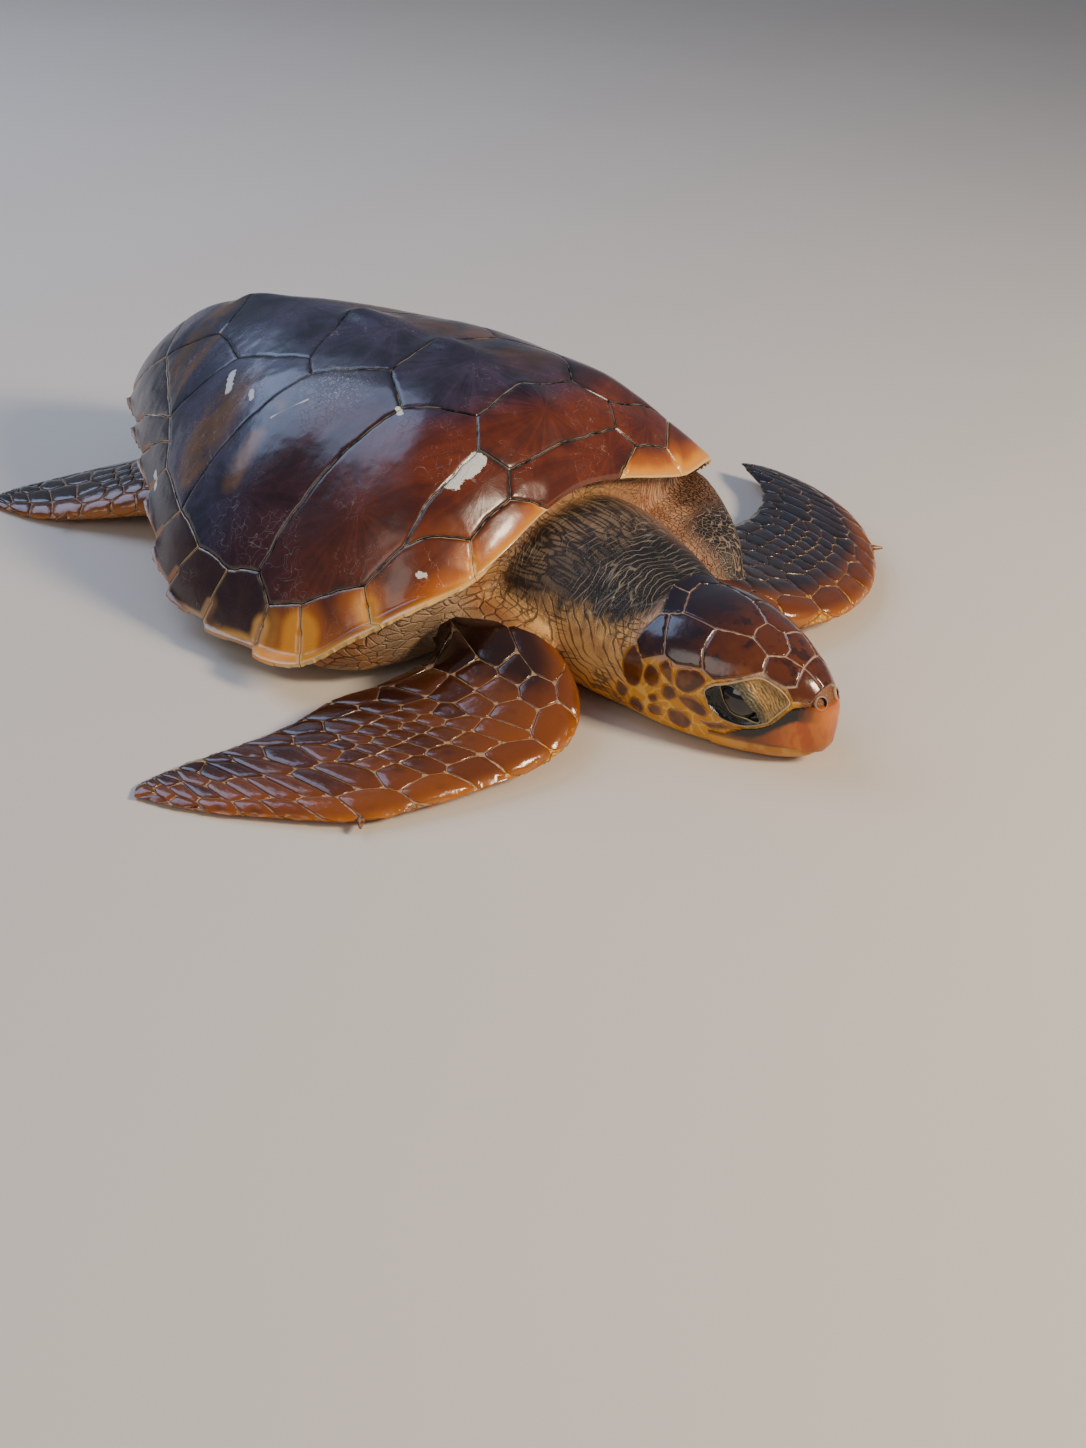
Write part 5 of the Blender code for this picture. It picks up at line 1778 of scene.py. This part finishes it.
def neck_skin(hide, off):
    """Dark top with pale arcs across it, cream sides with dark valleys along them; the dark of the
    valleys and of the fold lines on the top near the shell is painted shade.
    """
    s, height, soft = hide.s, hide.height, hide.clouds(45, 3)
    across = folds_of(hide, 0.12, 1.0, 0.14, 400, 0.005, 34)
    lengthwise = folds_of(hide, 0.9, 0.09, 1.0, 340, 0.005, 40)
    ragged = (folds_of(hide, 0.5, 1, 0.15, 260, 0.004, 50) - 0.3) * 0.05
    top = (height + (soft - 0.5) * 0.05 + ragged).rise(0.118, 0.160) * neck_mask(hide, off)
    drift = (hide.clouds(26, 3) - 0.5) * 0.030
    arcs = stripes(hide.y + off * 0.012 + drift, 0.0034) * hide.clouds(70, 3).rise(0.40, 0.60)
    ridge = (arcs + across.rise(0.08, 0.02) * hide.clouds(55, 3).rise(0.46, 0.66) * 0.7).clipped()
    # painted shade in the lengthwise folds on the top of the neck near the shell
    rough = tint((0.21, 0.135, 0.080), (0.016, 0.011, 0.009), lengthwise.rise(0.22, 0.05) * 0.9)
    dark = coated(tint((0.008, 0.006, 0.006), (0.26, 0.21, 0.16), ridge * 0.75),
                  (rough, (s + (soft - 0.5) * 0.10).rise(-0.085, 0.015) * 0.8),
                  ((0.36, 0.18, 0.10), hide.x.rise(0.012, 0.040) * s.rise(-0.14, -0.03) * 0.6))
    runs = hide.y * 0.83 - hide.z * 0.55 + drift * 0.7
    # painted shade in the valleys of the folds on the neck's side
    valley = stripes(runs, 0.0036) * hide.clouds(60, 3).rise(0.30, 0.50) * 0.9
    valley = (valley + lengthwise.rise(0.10, 0.02) * hide.clouds(50, 3).rise(0.44, 0.6)).clipped()
    cream = coated(tint((0.62, 0.34, 0.11), (0.66, 0.27, 0.022), height.rise(0.085, 0.04)),
                   ((0.46, 0.22, 0.07), hide.clouds(120, 3).rise(0.45, 0.7)),
                   ((0.055, 0.030, 0.014), valley * 0.8))
    return tint(cream, dark, top), ridge * top - valley * (1 - top)


def neck_mask(hide, off):
    return hide.s.rise(0.10, 0.04) * off.rise(0.21, 0.17)


def trunk_skin(hide):
    """Tan with brown lines round the shell's rim; the brown in the folds is painted shade."""
    around = folds_of(hide, 0.45, 0.45, 1.0, 300, 0.003, 60)
    tan = coated(tint((0.42, 0.18, 0.055), (0.30, 0.12, 0.04), hide.clouds(60, 3).rise(0.4, 0.65)),
                 # painted shade: brown in the folds that run round the shell's rim
                 ((0.13, 0.045, 0.016), around.rise(0.09, 0.02) * 0.8),
                 ((0.60, 0.42, 0.20), hide.height.rise(0.045, 0.015) * 0.7))
    return tan, around.rise(0.0, 0.12)


def shoulder_skin(hide):
    """Loose skin of the left shoulder: pink, brown on its outer side, dark with painted shade in
    the hollow towards the neck and in its creases.
    """
    creases = folds_of(hide, 1.0, 0.80, 0.16, 420, 0.004, 45)
    outer = (hide.x + (hide.clouds(60, 3) - 0.5) * 0.04).rise(0.066, 0.096)
    # painted shade in the hollow where the loose skin meets the neck
    painted_shade = ((hide.s + (hide.clouds(45, 3) - 0.5) * 0.08).rise(0.025, -0.020)
             * hide.x.rise(0.052, 0.070))
    pink = tint((0.66, 0.36, 0.20), (0.46, 0.21, 0.10), hide.clouds(70, 3).rise(0.4, 0.65))
    pink = coated(pink, ((0.27, 0.13, 0.065), outer),
                  # painted shade in the creases
                  ((0.050, 0.022, 0.012), creases.rise(0.20, 0.04) * (outer * 0.65 + 0.25)),
                  (tint((0.012, 0.009, 0.010), (0.30, 0.21, 0.14), creases.rise(0.12, 0.03)),
                   painted_shade))
    return pink, creases.rise(0.0, 0.14)

# %% Skin material
def skin_material():
    hide = Surface("turtle-hide")
    s, height = hide.s, hide.height
    off = abs(hide.x) * (1 / UNIT)
    on_neck, on_head = neck_mask(hide, off), s.rise(-0.150, -0.185)
    limb = (off.rise(0.20, 0.24) * s.rise(0.16, 0.12)
            + s.rise(0.70, 0.78) * off.rise(0.16, 0.22)).clipped()
    loose = (hide.x.rise(0.048, 0.062) * hide.x.rise(0.156, 0.148) * s.rise(0.17, 0.13)
             * height.rise(0.035, 0.050))
    cheek = tint((0.64, 0.27, 0.015), (0.78, 0.46, 0.10), hide.cells(150).rise(0.09, 0.03) * 0.8)
    neck, neck_relief = neck_skin(hide, off)
    trunk, trunk_relief = trunk_skin(hide)
    shoulder, shoulder_relief = shoulder_skin(hide)
    colour = coated(trunk, (neck, on_neck), ((0.40, 0.25, 0.14), limb), (shoulder, loose),
                    (tint((0.50, 0.31, 0.20), cheek, height.rise(0.132, 0.118)), on_head),
                    ((0.20, 0.070, 0.016), s.rise(-0.400, -0.412) * height.rise(0.080, 0.095)))
    relief = (neck_relief * on_neck * (1 - on_head)
              + trunk_relief * (1 - on_neck) * (1 - loose) + shoulder_relief * loose
              + hide.cells(900).rise(0.0, 0.3) * 0.15)
    return hide.set(colour, relief, 0.42, 0.0008)


FLESH = [name for name in NODES
         if name in ("trunk", "neck", "tail", "head") or name.startswith("flipper")]
finish_piece(skin, skin_material(), "skin", *FLESH, angle=180)
print("one skin stands for", len(FLESH), "solids")

# %% [markdown]
# ## Claws and plastron
#
# Each flipper has one short claw on its leading edge, grown from the same horn as the scales: dark
# at its root and clear at its tip. The solid is copied, and a subdivision surface rounds the copy.
# The plastron below is large and plain, so its solid stays and only gets its own horn: cream, with
# darker clouds and fine growth lines.

# %% Claws
def claw_material():
    horn = Surface("claw-horn")
    grain = horn.clouds(1, 3, horn.stretched(200, 700, 200, 0.002))
    colour = tint((0.30, 0.13, 0.035), (0.12, 0.035, 0.012), grain.rise(0.4, 0.6))
    return horn.set(colour, grain, 0.3, 0.00015)


def build_claw(node, material):
    claw = welded_copy(node, node.replace("_", "-") + "-horn")
    apply_modifier(claw, "SUBSURF", levels=2, render_levels=2)
    finish_piece(claw, material, "claw_horn", node, angle=80)
    print(claw.name, len(claw.data.polygons), "faces")


CLAW_HORN = claw_material()
for node in [name for name in NODES if name.startswith("claw")]:
    build_claw(node, CLAW_HORN)

# %% Plastron horn
def plastron_material():
    horn = Surface("plastron-horn")
    lines = horn.clouds(1, 3, horn.stretched(160, 22, 40, 0.006))
    cloud = horn.clouds(14, 4)
    middle = abs(horn.x).rise(0.0012, 0.0004)
    colour = coated(tint((0.62, 0.42, 0.17), (0.50, 0.29, 0.10), cloud.rise(0.4, 0.65)),
                    ((0.22, 0.12, 0.06), cloud.rise(0.60, 0.74) * 0.6),
                    ((0.70, 0.55, 0.30), lines.rise(0.5, 0.7) * 0.35),
                    ((0.10, 0.05, 0.025), middle * 0.8))
    return horn.set(colour, lines - middle, 0.34, 0.0003)


NODES["plastron"].data.materials[0] = plastron_material()
print("plastron:", NODES["plastron"].data.materials[0].name)

# %% [markdown]
# ## Floor, light and camera
#
# A pale floor, a warm key light from the front right of the animal, and a large cool light from
# behind that gives the top of the shell its sheen.

# %% Stage
def stage_material():
    floor = Surface("studio-floor")
    return floor.set(tint((0.66, 0.60, 0.52), (0.71, 0.65, 0.56), floor.clouds(4, 2)), None, 0.8)


def build_stage():
    floor = started("studio-floor", bpy.ops.mesh.primitive_grid_add, x_subdivisions=8,
                    y_subdivisions=8, size=12)
    floor.data.materials.append(stage_material())


# name, place, place it points at, size, power, colour
LIGHTS = (
    ("key", (0.35, -1.35, 0.95), (0, -0.05, 0.05), 0.35, 28, (1.0, 0.83, 0.62)),
    ("sky", (-0.2, 1.15, 1.25), (0, 0.1, 0.08), 1.3, 19, (0.52, 0.66, 1.0)),
    ("side", (-1.5, -0.25, 0.85), (0, 0, 0.05), 0.9, 6, (1.0, 0.93, 0.84)),
)


def area_light(name, place, target, size, power, colour):
    light = started(name, bpy.ops.object.light_add, type="AREA", location=place)
    light.data.size, light.data.energy, light.data.color = size, power, colour
    light.rotation_euler = (Vector(target) - Vector(place)).to_track_quat("-Z", "Y").to_euler()


build_stage()
for light in LIGHTS:
    area_light(*light)
world = bpy.data.worlds.new("studio")
world.use_nodes = True
world.node_tree.nodes["Background"].inputs[0].default_value = (0.74, 0.82, 1.0, 1)
world.node_tree.nodes["Background"].inputs[1].default_value = 0.22
bpy.context.scene.world = world
print("lights:", [light[0] for light in LIGHTS])

# %% Camera
CAMERA_TARGET = Vector((-0.0998, -0.2099, 0.0239))
CAMERA_AZIMUTH = math.radians(-52.11)
CAMERA_ELEVATION = math.radians(30.93)
CAMERA_ROLL = math.radians(5.645)
CAMERA_DISTANCE = 0.7865
CAMERA_LENS = 44.716           # mm, on a sensor of the next height
CAMERA_SENSOR = 36


def build_camera():
    """Looks at the target from an azimuth and elevation, turned about its own axis by the roll."""
    flat = math.cos(CAMERA_ELEVATION)
    back = Vector((math.sin(CAMERA_AZIMUTH) * flat, -math.cos(CAMERA_AZIMUTH) * flat,
                   math.sin(CAMERA_ELEVATION)))
    camera = started("camera", bpy.ops.object.camera_add,
                     location=CAMERA_TARGET + back * CAMERA_DISTANCE)
    camera.rotation_mode = "QUATERNION"
    camera.rotation_quaternion = back.to_track_quat("Z", "Y") @ Quaternion((0, 0, 1), CAMERA_ROLL)
    camera.data.sensor_fit = "VERTICAL"
    camera.data.sensor_height = CAMERA_SENSOR
    camera.data.lens = CAMERA_LENS
    camera.data.clip_start = 0.01
    bpy.context.scene.camera = camera
    print("camera", CAMERA_DISTANCE, "m from its target")


build_camera()
